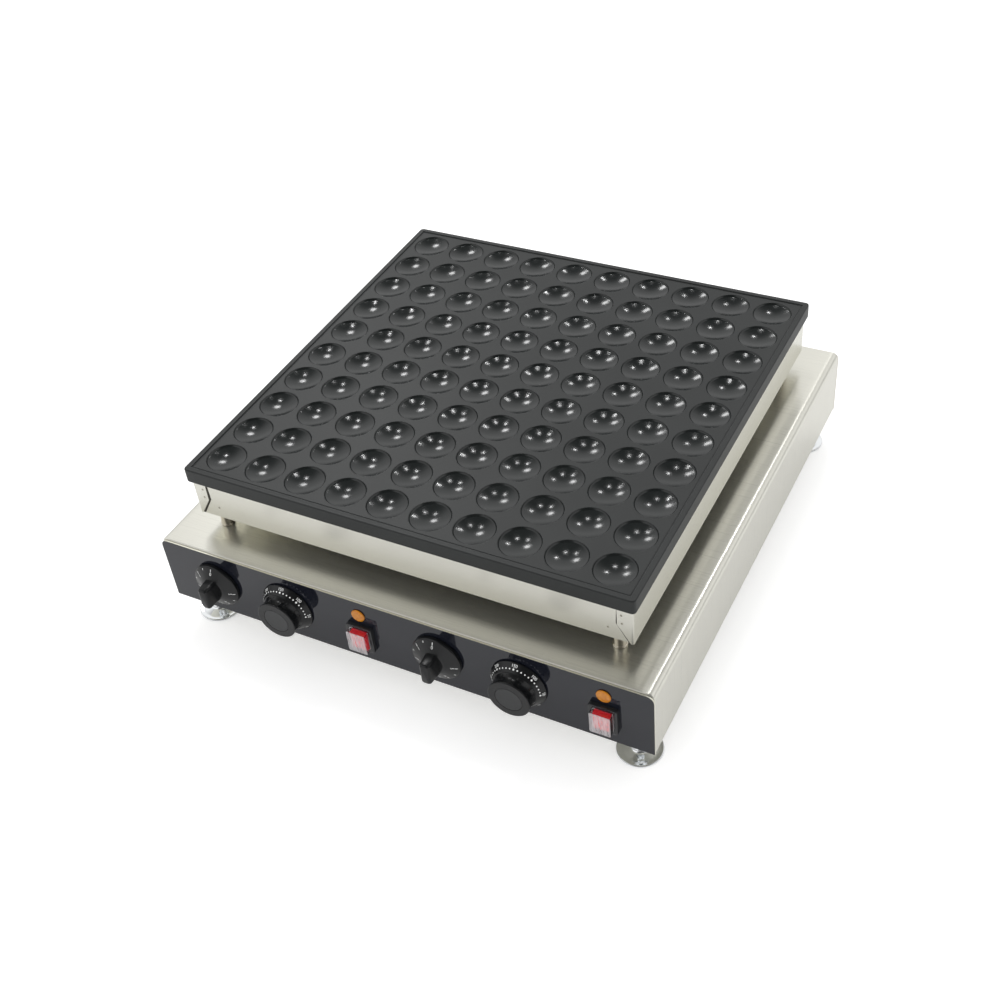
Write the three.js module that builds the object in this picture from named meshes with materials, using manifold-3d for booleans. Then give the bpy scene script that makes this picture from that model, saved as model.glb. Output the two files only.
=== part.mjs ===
// Electric mini pancake maker: a cast plate with ten rows of ten dimples on a sheet housing,
// held by four spacers above a wide sheet base with a control panel and four levelling feet.
// Millimetres, X to the right, Y to the back, Z up, floor at zero.

import * as THREE from "three";
import { mergeVertices } from "three/addons/utils/BufferGeometryUtils.js";
import Module from "manifold-3d";

const wasm = await Module();
wasm.setup();

// Clearances
const fit = 0.3; // between two pieces that touch
const slideFit = 0.6; // round pieces that pass through a hole
const weldTolerance = 1e-4; // points nearer than this are one point
const cutOver = 1; // how far a cutter reaches past the surface it opens
const weldShare = 0.5; // how deep a joined bar or flange is set into its neighbour's sheet

// Baking plate
const dimpleCount = 10;
const dimplePitch = 48.3;
const dimpleRimRadius = 21.25;
const dimpleDepth = 6;
const dimpleFacets = 12;
const dimpleRingShares = [0.6];
const plateEdgeMargin = 11.4; // outer dimple rims to the plate edge
const plateThickness = 16;
const plateCornerRadius = 4.5;
const borderWidth = 7;
const borderRise = 0.8;
const clampBossRadius = 7;

// Housing under the plate
const plateOverhang = 4;
const housingHeight = 44.2;
const housingSheet = 1.2;
const housingBend = 2.4;
const tabWidth = 16;
const tabStraight = 22.7;
const housingTopFlange = 12;
const sideFootFlange = 30;
const endFootFlange = 10;

// Spacers between housing and base
const spacerHeight = 19.4;
const spacerRadius = 7.5;
const spacerBoreRadius = 4.2;
const spacerInsetX = 20;
const spacerInsetY = 14;

// Base
const sideLedge = 34; // base side beyond the housing side
const endLedge = 35; // panel face beyond the housing front
const baseHeight = 82;
const baseSheet = 1.5;
const baseBend = 8;
const baseFlangeWidth = 52;
const returnWidth = 14; // sides of the front opening
const knobOpeningMargin = 2.3; // timer body to the opening's lower edge
const lampOpeningMargin = 4.2; // lamp body to the opening's upper edge
const bottomSheet = 1.2;
const bottomOverlap = 12;

// Control panel and rear panel
const panelThickness = 2;
const panelDrop = 1.5; // panel top below the base top
const panelCornerRadius = 7.5;
const rearSheet = 1.2;
const ventWidth = 3;
const ventHeight = 34;
const ventPitch = 9;
const ventCount = 7;
const ventGroupOffset = 105;
const floorVentLength = 60;
const floorVentCount = 5;
const floorVentPitch = 14;

// Places on the control panel
const unitPitch = 266.6; // left set of controls to right set
const unitShift = 7.6; // middle of both sets to the right of the base middle
const controlSpacing = 89.1; // timer, thermostat and switch within a set
const knobHeightShare = 0.4915; // knob centre, of the base's height
const switchMarginShare = 0.497; // below the switch, of the height that switch and lamp leave free
const lampGapShare = 0.1386; // between switch and lamp, of the same free height

// Timer knob
const skirtLift = 0.8;
const timerRadius = 27.2;
const timerEdge = 3.2;
const timerChamfer = 0.8;
const timerConeTopRadius = 12.6;
const timerConeRise = 6.4;
const gripWidth = 15.5; // at its foot
const gripHeight = 27.3;
const gripRound = 4;
const gripReach = 27.4;
const gripTopWidthShare = 0.71;
const gripTopHeightShare = 0.965;

// Thermostat knob
const dialRadius = 30.1;
const dialEdge = 1.1;
const dialTopRadius = 23.4;
const dialTopReach = 9.5;
const hubRadius = 22.6; // at its foot
const hubWaistShare = 0.93;
const headRadius = 22.3;
const headThickness = 2.8;
const headReach = 22.8;
const headRound = 0.8;
const capRadius = 14.2;
const capThickness = 0.9;
const fluteCount = 8;
const fluteRadius = 3;
const fluteFacets = 4;

// Shafts and the bodies behind the panel
const shaftRadius = 3;
const shaftFlatShare = 0.5;
const shaftOut = 13;
const shaftIn = 8;
const timerBodyWidth = 44;
const timerBodyHeight = 48;
const thermostatBodyWidth = 34;
const thermostatBodyHeight = 44;
const controlBodyDepth = 32;
const bodyRound = 3;

// Indicator lamps
const lensRadius = 7.6;
const lensEdge = 0.7;
const lensRise = 2.2;
const lensShoulderShare = 0.82;
const lensCrownShare = 0.9;
const lensStemRadius = 4.6;
const lensStemLength = 4;
const lampBodyRadius = 6.5;
const lampBodyDepth = 22;

// Rocker switches
const bezelWidth = 30.1;
const bezelHeight = 33.6;
const bezelReach = 5;
const bezelRound = 3;
const switchBodyWidth = 24;
const switchBodyHeight = 29;
const switchBodyDepth = 28;
const rockerWidth = 17.6;
const rockerHalfHeight = 11;
const rockerEdgeRise = 10.24; // rocker edge above its pivot
const rockerTopShares = [[1, 1], [0.5, 0.9], [0, 0.86], [-0.5, 0.9], [-1, 1]];
const rockerSkirtShare = 0.3;
const rockerKeel = 5;
const rockerKeelHalf = 4;
const rockerTilt = 7;
const rockerPivotDepth = 1.5; // pivot behind the panel face
const pinRadius = 1.4;
const pinLength = 1.5;
const pocketHalfHeight = 12.6;
const pocketFloorFit = 1.5;
const coverReach = 12.5;
const coverWall = 0.8;
const coverSideGap = 1.4; // rocker side to cover wall
const coverHalfHeight = 13.3;
const coverRound = 1.6;

// Levelling feet
const footHeight = 37.5; // floor to the underside of the base
const footRadius = 23.6;
const footEdge = 1;
const footRim = 2.6;
const footDishShare = 0.8;
const footDishDrop = 0.7;
const footHubRadius = 9;
const footHubFoot = 4.5;
const footHubTop = 9.5;
const footNeckRadius = 6.5;
const stemRadius = 5;
const stemTop = 56;
const footInsetX = 27.5;
const footInsetY = 28.4;
const footNutFlat = 17; // across flats
const footNutHeight = 6;
const weldNutHeight = 8;

// Heaters, clamps, bulbs and sleeves
const elementRadius = 4;
const elementRunCount = 4;
const elementWallMargin = 38.8; // outermost run's axis to the side wall
const zoneGap = 20;
const elementEndSetback = 19.4; // element ends behind the housing front
const elementTurnSetback = 24; // outside of a turn from the housing end
const turnSteps = 7;
const elementSides = 6;
const clampWidth = 14;
const clampThickness = 3;
const clampFrontY = -110;
const clampRearY = 130;
const clampOverrun = 12;
const bulbLength = 90;
const bulbRearY = 30;
const capillaryRadius = 1.2;
const capillarySides = 5;
const capillaryBend = 9;
const bendSteps = 4;
const sleeveY = -145;
const sleeveOuterRadius = 9;
const sleeveInnerRadius = 7;
const sleeveCollarRadius = 13;
const sleeveOverrun = 6;
const capillaryDrop = 24; // lowest straight of the capillary below the base top

// Mains entry
const glandX = -200;
const glandHeight = 68;
const glandBoreRadius = 4.5;
const glandTubeRadius = 8;
const glandFlangeRadius = 13;
const glandFlangeThickness = 4;
const glandNoseRadius = 6.6;
const glandReach = 20;
const glandLipRadius = 8.9;
const glandLipLength = 4;
const terminalWidth = 60;
const terminalDepth = 22;
const terminalHeight = 18;
const terminalY = 205;
const terminalHoleRadius = 3;
const terminalHoleCount = 3;

// Facet counts
const knobFacets = 18;
const footFacets = 14;
const smallFacets = 10;
const cornerSteps = 3;
const slotSteps = 2;
const bendFacetSteps = 4;

// Levels, from the floor up
const baseBottom = footHeight;
const baseTop = baseBottom + baseHeight;
const housingBottom = baseTop + spacerHeight + 2 * fit;
const housingTop = housingBottom + housingHeight;
const plateBottom = housingTop + fit;
const plateTop = plateBottom + plateThickness;
const elementAxisZ = plateBottom - fit - elementRadius;
const clampTop = elementAxisZ - elementRadius - fit;
const housingFloorZ = housingBottom + housingSheet + fit;
const baseFloorZ = baseBottom + baseSheet + fit;

// Half sizes and faces
const plateHalf = ((dimpleCount - 1) * dimplePitch) / 2 + dimpleRimRadius + plateEdgeMargin;
const housingHalf = plateHalf - plateOverhang;
const baseHalfX = housingHalf + sideLedge;
const panelFace = -(housingHalf + endLedge);
const rearFace = -panelFace;
const casingFront = panelFace + panelThickness + fit;
const casingRear = rearFace - rearSheet - fit;
const panelTop = baseTop - panelDrop;
const endWallFace = housingHalf - housingSheet - fit; // outer face of the front and rear walls
const bodyFront = -(panelThickness + fit); // front of the bodies, as reach from the panel face
const knobHeight = baseBottom + baseHeight * knobHeightShare;
const freeHeight = baseHeight - bezelHeight - 2 * lensRadius;
const switchHeight = baseBottom + freeHeight * switchMarginShare + bezelHeight / 2;
const lampHeight = switchHeight + bezelHeight / 2 + freeHeight * lampGapShare + lensRadius;
const shiftY = (gripReach - glandReach) / 2; // brings the whole cooker's box to the middle

const group = new THREE.Group();
group.name = "mini_pancake_maker";

// Turns a three.js geometry into a solid
function solid(geometry) {
  geometry.deleteAttribute("normal");
  geometry.deleteAttribute("uv");
  const merged = mergeVertices(geometry, weldTolerance);
  const index = merged.index.array;
  const faces = [];
  for (let i = 0; i < index.length; i += 3) {
    const [a, b, c] = [index[i], index[i + 1], index[i + 2]];
    if (a !== b && b !== c && c !== a) faces.push(a, b, c);
  }
  const vertProperties = new Float32Array(merged.attributes.position.array);
  const triVerts = new Uint32Array(faces);
  return new wasm.Manifold(new wasm.Mesh({ numProp: 3, vertProperties, triVerts }));
}

// Corner points of a rectangle with its corners rounded by the four given radii
function roundedLoop(x0, x1, y0, y1, radii, steps = cornerSteps) {
  const [r00, r10, r11, r01] = radii;
  const corners = [
    [x0 + r00, y0 + r00, r00, Math.PI],
    [x1 - r10, y0 + r10, r10, 1.5 * Math.PI],
    [x1 - r11, y1 - r11, r11, 0],
    [x0 + r01, y1 - r01, r01, 0.5 * Math.PI],
  ];
  const loop = [];
  for (const [cx, cy, radius, start] of corners) {
    const count = radius > 0 ? steps : 0;
    for (let i = 0; i <= count; i += 1) {
      const angle = start + (count ? (i / count) * 0.5 * Math.PI : 0);
      const point = new THREE.Vector2(cx + radius * Math.cos(angle), cy + radius * Math.sin(angle));
      const before = loop[loop.length - 1];
      if (!before || before.distanceTo(point) > weldTolerance) loop.push(point);
    }
  }
  if (loop[0].distanceTo(loop[loop.length - 1]) < weldTolerance) loop.pop();
  return loop;
}

const evenRadii = (radius) => [radius, radius, radius, radius];
const topRadii = (radius) => [0, 0, radius, radius];

// Slot outline with round ends
function slotLoop(cx, cy, halfX, halfY) {
  const radius = Math.min(halfX, halfY);
  return roundedLoop(cx - halfX, cx + halfX, cy - halfY, cy + halfY, evenRadii(radius), slotSteps);
}

// Round hole outline
function holeLoop(cx, cy, radius) {
  return roundedLoop(cx - radius, cx + radius, cy - radius, cy + radius, evenRadii(radius), cornerSteps);
}

// Solid swept straight up from an outline, with holes cut through it
function upright(loop, z0, z1, holes = []) {
  const geometry = new THREE.ExtrudeGeometry(new THREE.Shape(loop), { depth: z1 - z0, bevelEnabled: false });
  geometry.translate(0, 0, z0);
  let piece = solid(geometry);
  for (const hole of holes) piece = piece.subtract(upright(hole, z0 - cutOver, z1 + cutOver));
  return piece;
}

// The same swept to the back: the outline lies in X and Z
function alongY(loop, y0, y1, holes = []) {
  return upright(loop, -y1, -y0, holes).rotate([90, 0, 0]);
}

function box(x0, x1, y0, y1, z0, z1) {
  const geometry = new THREE.BoxGeometry(x1 - x0, y1 - y0, z1 - z0);
  geometry.translate((x0 + x1) / 2, (y0 + y1) / 2, (z0 + z1) / 2);
  return solid(geometry);
}

// Turned solid about Z from radius and height pairs, bottom to top
function turned(profile, facets) {
  const points = profile.map(([radius, height]) => new THREE.Vector2(radius, height));
  const geometry = new THREE.LatheGeometry(points, facets);
  geometry.rotateX(Math.PI / 2);
  return solid(geometry);
}

// Solid between two outlines of the same count of points, one above the other
function tapered(lower, upper, z0, z1) {
  const count = lower.length;
  const vertices = [];
  const faces = [];
  for (const [loop, z] of [[lower, z0], [upper, z1]]) {
    for (const point of loop) vertices.push(point.x, point.y, z);
  }
  for (let k = 0; k < count; k += 1) {
    const next = (k + 1) % count;
    faces.push(k, next, next + count, k, next + count, k + count);
  }
  for (let k = 1; k < count - 1; k += 1) faces.push(0, k + 1, k, count, count + k, count + k + 1);
  const geometry = new THREE.BufferGeometry();
  geometry.setAttribute("position", new THREE.Float32BufferAttribute(vertices, 3));
  geometry.setIndex(faces);
  return solid(geometry);
}

function ring(inner, outer, z0, z1, facets) {
  return turned([[inner, z0], [outer, z0], [outer, z1], [inner, z1], [inner, z0]], facets);
}

const rod = (radius, z0, z1, facets) => turned([[0, z0], [radius, z0], [radius, z1], [0, z1]], facets);

// Six-sided prism across the given flats
function hexagon(flat, z0, z1) {
  return rod(flat / 2 / Math.cos(Math.PI / 6), z0, z1, 6);
}

// Path with one station at each point of a chain
class ChainPath extends THREE.Curve {
  constructor(points) {
    super();
    this.points = points;
  }

  getPointAt(share, target = new THREE.Vector3()) {
    return target.copy(this.points[Math.round(share * (this.points.length - 1))]);
  }

  getTangentAt(share, target = new THREE.Vector3()) {
    const last = this.points.length - 1;
    const i = Math.round(share * last);
    target.subVectors(this.points[Math.min(i + 1, last)], this.points[Math.max(i - 1, 0)]);
    return target.normalize();
  }
}

// Round bar along a chain of points
function bar(points, radius, facets) {
  const loop = [];
  for (let i = 0; i < facets; i += 1) {
    const angle = (i / facets) * 2 * Math.PI;
    loop.push(new THREE.Vector2(radius * Math.cos(angle), radius * Math.sin(angle)));
  }
  const extrudePath = new ChainPath(points);
  const settings = { steps: points.length - 1, bevelEnabled: false, extrudePath };
  return solid(new THREE.ExtrudeGeometry(new THREE.Shape(loop), settings));
}

// Chain of points with each inner corner bent to the given radius
function bentChain(corners, radius, steps) {
  const chain = [corners[0]];
  for (let i = 1; i < corners.length - 1; i += 1) {
    const into = corners[i - 1].clone().sub(corners[i]).normalize().multiplyScalar(radius);
    const out = corners[i + 1].clone().sub(corners[i]).normalize().multiplyScalar(radius);
    const curve = new THREE.QuadraticBezierCurve3(
      corners[i].clone().add(into),
      corners[i],
      corners[i].clone().add(out),
    );
    chain.push(...curve.getPoints(steps));
  }
  chain.push(corners[corners.length - 1]);
  return chain;
}

// Moves a piece built along its own axis to a place on the control panel
function onPanel(piece, x, z) {
  return piece.rotate([90, 0, 0]).translate([x, panelFace, z]);
}

// Adds one finished piece
function place(name, piece, color, metalness, roughness) {
  const shifted = piece.translate([0, shiftY, 0]);
  const mesh = shifted.getMesh();
  const geometry = new THREE.BufferGeometry();
  geometry.setAttribute("position", new THREE.Float32BufferAttribute(mesh.vertProperties, 3));
  geometry.setIndex(new THREE.Uint32BufferAttribute(mesh.triVerts, 1));
  geometry.computeVertexNormals();
  const material = new THREE.MeshStandardMaterial({ color, metalness, roughness });
  material.name = name;
  const node = new THREE.Mesh(geometry, material);
  node.name = name;
  group.add(node);
}

// Looks of the materials
const castPlate = ["#3f4341", 0.3, 0.5];
const stainless = ["#c9c6b8", 1, 0.32];
const panelBlack = ["#3b3b40", 0.1, 0.2];
const knobBlack = ["#1d1f20", 0, 0.45];
const capGrey = ["#3a3c3c", 0, 0.4];
const amber = ["#d98a2b", 0, 0.15];
const rockerRed = ["#e5404d", 0, 0.3];
const clear = ["#d9d4d8", 0, 0.1];
const chromed = ["#d8dbdd", 1, 0.08];
const zinc = ["#b9b08c", 1, 0.35];
const elementGrey = ["#5a5c58", 0.8, 0.5];
const copper = ["#b5733f", 1, 0.35];
const bodyGrey = ["#8b8d8e", 0.2, 0.6];
const ceramic = ["#e8e2d2", 0, 0.6];

// Places that pieces share
const elementSpan = housingHalf - housingSheet - elementWallMargin - zoneGap / 2;
const elementRunPitch = elementSpan / (elementRunCount - 1 / 2);
const zoneHalf = ((elementRunCount - 1) * elementRunPitch) / 2;
const zoneX = zoneHalf + (elementRunPitch + zoneGap) / 2;
const clampHalf = zoneHalf + clampOverrun;
const spacerX = housingHalf - spacerInsetX;
const spacerY = housingHalf - spacerInsetY;
const footX = baseHalfX - footInsetX;
const footY = rearFace - footInsetY;
const sides = [["left", -1], ["right", 1]];
const ends = [["front", -1], ["rear", 1]];
const bossOffset = elementRunPitch;

// Baking plate: the field lies below a raised border, the dimples are cut into the field
const plateOutline = roundedLoop(-plateHalf, plateHalf, -plateHalf, plateHalf, evenRadii(plateCornerRadius));
const fieldHalf = plateHalf - borderWidth;
const fieldOutline = roundedLoop(-fieldHalf, fieldHalf, -fieldHalf, fieldHalf, evenRadii(plateCornerRadius));
const bowlRadius = (dimpleRimRadius ** 2 + dimpleDepth ** 2) / (2 * dimpleDepth);
const bowlProfile = [[0, plateTop - dimpleDepth]];
for (const share of dimpleRingShares) {
  const radius = share * dimpleRimRadius;
  const height = bowlRadius - Math.sqrt(bowlRadius ** 2 - radius ** 2);
  bowlProfile.push([radius, plateTop - dimpleDepth + height]);
}
const rimOver = plateTop + borderRise + cutOver;
bowlProfile.push([dimpleRimRadius, plateTop], [dimpleRimRadius, rimOver], [0, rimOver]);
const bowl = turned(bowlProfile, dimpleFacets);
let plate = upright(plateOutline, plateBottom, plateTop + borderRise);
plate = plate.subtract(upright(fieldOutline, plateTop, rimOver));
for (const [, side] of sides) {
  for (const y of [clampFrontY, clampRearY]) {
    for (const offset of [-bossOffset, bossOffset]) {
      const boss = rod(clampBossRadius, clampTop + fit, plateBottom + cutOver, smallFacets);
      plate = plate.add(boss.translate([side * zoneX + offset, y, 0]));
    }
  }
}
const firstDimple = (-(dimpleCount - 1) * dimplePitch) / 2;
for (let row = 0; row < dimpleCount; row += 1) {
  for (let column = 0; column < dimpleCount; column += 1) {
    const x = firstDimple + column * dimplePitch;
    const y = firstDimple + row * dimplePitch;
    plate = plate.subtract(bowl.translate([x, y, 0]));
  }
}
place("baking_plate", plate, ...castPlate);

// Housing side walls: one sheet with tabs bent round the corners, a top and a bottom flange
const innerFace = housingHalf - housingSheet;
const flangeEnd = endWallFace - housingSheet - fit;
const wallRoot = innerFace + housingSheet * weldShare;
const wallBlank = upright(
  roundedLoop(0, housingHalf, -housingHalf, housingHalf, [0, housingBend, housingBend, 0]),
  housingBottom,
  housingTop,
);
const wallHollow = box(-cutOver, innerFace, -innerFace, innerFace, housingBottom - cutOver, housingTop + cutOver);
const beyondTab = box(
  -cutOver,
  housingHalf - tabWidth,
  -housingHalf - cutOver,
  housingHalf + cutOver,
  housingBottom - cutOver,
  housingTop + cutOver,
);
const tabKnee = housingTop - tabStraight;
const tabCorner = [
  new THREE.Vector2(housingHalf - tabWidth - cutOver, tabKnee + cutOver),
  new THREE.Vector2(housingHalf - tabWidth - cutOver, housingBottom - cutOver),
  new THREE.Vector2(housingHalf - housingBend, housingBottom - cutOver),
  new THREE.Vector2(housingHalf - housingBend, housingBottom),
  new THREE.Vector2(housingHalf - tabWidth, tabKnee),
];
let sideWall = wallBlank.subtract(wallHollow).subtract(beyondTab);
for (const [, end] of ends) {
  const y = end * (innerFace + housingSheet / 2);
  sideWall = sideWall.subtract(alongY(tabCorner, y - housingSheet, y + housingSheet));
}
const topFlangeEdge = housingHalf - housingTopFlange;
sideWall = sideWall.add(
  box(topFlangeEdge, wallRoot, -flangeEnd, flangeEnd, housingTop - housingSheet, housingTop),
);
const footFlangeEdge = housingHalf - sideFootFlange;
sideWall = sideWall.add(
  box(footFlangeEdge, wallRoot, -flangeEnd, flangeEnd, housingBottom, housingBottom + housingSheet),
);
for (const [, end] of ends) {
  const bore = rod(spacerBoreRadius, housingBottom - cutOver, housingBottom + housingSheet + cutOver, smallFacets);
  sideWall = sideWall.subtract(bore.translate([spacerX, end * spacerY, 0]));
}
place("housing_right_wall", sideWall, ...stainless);
place("housing_left_wall", sideWall.mirror([1, 0, 0]), ...stainless);

// Housing front and rear walls: between the side walls, behind their tabs
const endWallHalf = innerFace - fit;
const endWallInner = endWallFace - housingSheet;
const endWallRoot = endWallInner + housingSheet * weldShare;
const topFlangeHalf = topFlangeEdge - fit;
const footFlangeHalf = footFlangeEdge - fit;
let endWall = box(-endWallHalf, endWallHalf, endWallInner, endWallFace, housingBottom, housingTop);
endWall = endWall.add(
  box(
    -topFlangeHalf,
    topFlangeHalf,
    endWallFace - housingTopFlange,
    endWallRoot,
    housingTop - housingSheet,
    housingTop,
  ),
);
endWall = endWall.add(
  box(
    -footFlangeHalf,
    footFlangeHalf,
    endWallFace - endFootFlange,
    endWallRoot,
    housingBottom,
    housingBottom + housingSheet,
  ),
);
place("housing_rear_wall", endWall, ...stainless);
place("housing_front_wall", endWall.mirror([0, 1, 0]), ...stainless);

// Housing floor: a tray on the bottom flanges with two holes for the sleeves
const trayHalfX = innerFace - slideFit;
const trayHalfY = endWallInner - slideFit;
let tray = box(-trayHalfX, trayHalfX, -trayHalfY, trayHalfY, housingFloorZ, housingFloorZ + housingSheet);
for (const [, side] of sides) {
  const hole = rod(
    sleeveOuterRadius + slideFit,
    housingFloorZ - cutOver,
    housingFloorZ + housingSheet + cutOver,
    smallFacets,
  );
  tray = tray.subtract(hole.translate([side * zoneX, sleeveY, 0]));
}
place("housing_floor", tray, ...stainless);

// Spacers
const spacer = ring(spacerBoreRadius, spacerRadius, baseTop + fit, housingBottom - fit, footFacets);
for (const [endName, end] of ends) {
  for (const [sideName, side] of sides) {
    const name = `housing_spacer_${endName}_${sideName}`;
    place(name, spacer.translate([side * spacerX, end * spacerY, 0]), ...zinc);
  }
}

// Base casing: top and sides from one sheet, flanges below, returns at the front and the rear
const casingOutline = roundedLoop(-baseHalfX, baseHalfX, baseBottom, baseTop, topRadii(baseBend), bendFacetSteps);
const hollowOutline = roundedLoop(
  baseSheet - baseHalfX,
  baseHalfX - baseSheet,
  baseBottom + baseSheet,
  baseTop - baseSheet,
  topRadii(baseBend - baseSheet),
  bendFacetSteps,
);
const frontOpening = roundedLoop(
  returnWidth - baseHalfX,
  baseHalfX - returnWidth,
  knobHeight - timerBodyHeight / 2 - knobOpeningMargin,
  lampHeight + lampBodyRadius + lampOpeningMargin,
  evenRadii(0),
);
const openBottomHalf = baseHalfX - baseFlangeWidth;
const [hollowFront, hollowRear] = [casingFront + baseSheet, casingRear - baseSheet];
let casing = alongY(casingOutline, casingFront, casingRear, [frontOpening]);
casing = casing.subtract(alongY(hollowOutline, hollowFront, hollowRear));
casing = casing.subtract(
  box(
    -openBottomHalf,
    openBottomHalf,
    hollowFront,
    hollowRear,
    baseBottom - cutOver,
    baseBottom + baseSheet + cutOver,
  ),
);
const weldNutRoot = baseBottom + baseSheet * weldShare;
const weldNutTop = baseBottom + baseSheet + weldNutHeight;
const stemHole = rod(stemRadius + slideFit, baseBottom - cutOver, weldNutTop + cutOver, smallFacets);
for (const [, end] of ends) {
  for (const [, side] of sides) {
    const weldNut = hexagon(footNutFlat, weldNutRoot, weldNutTop);
    casing = casing.add(weldNut.translate([side * footX, end * footY, 0]));
    casing = casing.subtract(stemHole.translate([side * footX, end * footY, 0]));
    const bore = rod(spacerBoreRadius, baseTop - baseSheet - cutOver, baseTop + cutOver, smallFacets);
    casing = casing.subtract(bore.translate([side * spacerX, end * spacerY, 0]));
  }
}
for (const [, side] of sides) {
  const hole = rod(
    sleeveOuterRadius + slideFit,
    baseTop - baseSheet - cutOver,
    baseTop + cutOver,
    smallFacets,
  );
  casing = casing.subtract(hole.translate([side * zoneX, sleeveY, 0]));
}
place("base_casing", casing, ...stainless);

// Bottom plate: lies on the casing's flanges, with air slots
const floorHalf = openBottomHalf + bottomOverlap;
const floorSlots = [];
for (const [, side] of sides) {
  for (let i = 0; i < floorVentCount; i += 1) {
    const y = (i - (floorVentCount - 1) / 2) * floorVentPitch;
    floorSlots.push(slotLoop(side * ventGroupOffset, y, floorVentLength / 2, ventWidth / 2));
  }
}
const floorOutline = roundedLoop(
  -floorHalf,
  floorHalf,
  casingFront + baseSheet + slideFit,
  casingRear - baseSheet - slideFit,
  evenRadii(0),
);
place("bottom_plate", upright(floorOutline, baseFloorZ, baseFloorZ + bottomSheet, floorSlots), ...stainless);

// Rear panel: vented sheet with the hole for the mains entry
const rearSlots = [holeLoop(glandX, glandHeight, glandTubeRadius + slideFit)];
const ventZ = (baseBottom + panelTop) / 2;
for (const [, side] of sides) {
  for (let i = 0; i < ventCount; i += 1) {
    const x = side * ventGroupOffset + (i - (ventCount - 1) / 2) * ventPitch;
    rearSlots.push(slotLoop(x, ventZ, ventWidth / 2, ventHeight / 2));
  }
}
const panelOutline = roundedLoop(
  -baseHalfX,
  baseHalfX,
  baseBottom,
  panelTop,
  topRadii(panelCornerRadius),
  bendFacetSteps,
);
place("rear_panel", alongY(panelOutline, rearFace - rearSheet, rearFace, rearSlots), ...stainless);

// Mains entry: a bushing snapped in the rear panel
const glandInner = -(rearSheet + fit);
const gland = turned(
  [
    [glandBoreRadius, glandInner - glandLipLength],
    [glandTubeRadius, glandInner - glandLipLength],
    [glandLipRadius, glandInner],
    [glandTubeRadius, glandInner],
    [glandTubeRadius, fit],
    [glandFlangeRadius, fit],
    [glandFlangeRadius, glandFlangeThickness],
    [glandTubeRadius, glandFlangeThickness],
    [glandNoseRadius, glandReach],
    [glandBoreRadius, glandReach],
    [glandBoreRadius, glandInner - glandLipLength],
  ],
  smallFacets,
);
place("cable_gland", gland.rotate([-90, 0, 0]).translate([glandX, rearFace, glandHeight]), ...knobBlack);

// Mains terminals on the bottom plate
const terminalZ = baseFloorZ + bottomSheet + fit;
const wireHoles = [];
for (let i = 0; i < terminalHoleCount; i += 1) {
  const x = ((i + 1) / (terminalHoleCount + 1) - 1 / 2) * terminalWidth;
  wireHoles.push(holeLoop(x, terminalZ + terminalHeight / 2, terminalHoleRadius));
}
const terminalOutline = roundedLoop(
  -terminalWidth / 2,
  terminalWidth / 2,
  terminalZ,
  terminalZ + terminalHeight,
  evenRadii(0),
);
const terminalRear = terminalY + terminalDepth;
place("terminal_block", alongY(terminalOutline, terminalY, terminalRear, wireHoles), ...ceramic);

// Feet with their lock nuts: disc and stem in one piece, the stem runs in the casing's weld nuts
const footProfile = [
  [0, 0],
  [footRadius - footEdge, 0],
  [footRadius, footEdge],
  [footRadius, footRim],
  [footRadius - footEdge, footRim + footEdge / 2],
  [footRadius * footDishShare, footRim + footEdge / 2 - footDishDrop],
  [footHubRadius, footHubFoot],
  [footNeckRadius, footHubTop],
  [stemRadius, footHubTop],
  [stemRadius, stemTop],
  [0, stemTop],
];
const foot = turned(footProfile, footFacets);
const nutTop = baseBottom - fit;
const lockNut = hexagon(footNutFlat, nutTop - footNutHeight, nutTop).subtract(
  rod(stemRadius + slideFit, nutTop - footNutHeight - cutOver, nutTop + cutOver, smallFacets),
);
for (const [endName, end] of ends) {
  for (const [sideName, side] of sides) {
    const spot = [side * footX, end * footY, 0];
    place(`foot_${endName}_${sideName}`, foot.translate(spot), ...chromed);
    place(`foot_nut_${endName}_${sideName}`, lockNut.translate(spot), ...chromed);
  }
}

// Timer knob: conical skirt with a grip bar across it
const timerFace = skirtLift + timerEdge + timerChamfer;
const timerConeTop = timerFace + timerConeRise;
const socket = rod(shaftRadius + fit, skirtLift - cutOver, shaftOut + fit, smallFacets);
const gripLoop = (widthShare, heightShare) =>
  roundedLoop(
    (-gripWidth / 2) * widthShare,
    (gripWidth / 2) * widthShare,
    (-gripHeight / 2) * heightShare,
    (gripHeight / 2) * heightShare,
    evenRadii(gripRound * widthShare),
  );
let timerKnob = turned(
  [
    [0, skirtLift],
    [timerRadius, skirtLift],
    [timerRadius, skirtLift + timerEdge],
    [timerRadius - timerChamfer, timerFace],
    [timerConeTopRadius, timerConeTop],
    [0, timerConeTop],
  ],
  knobFacets,
);
const gripTop = gripLoop(gripTopWidthShare, gripTopHeightShare);
timerKnob = timerKnob.add(tapered(gripLoop(1, 1), gripTop, timerFace - timerEdge, gripReach));
timerKnob = timerKnob.subtract(socket);

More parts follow.
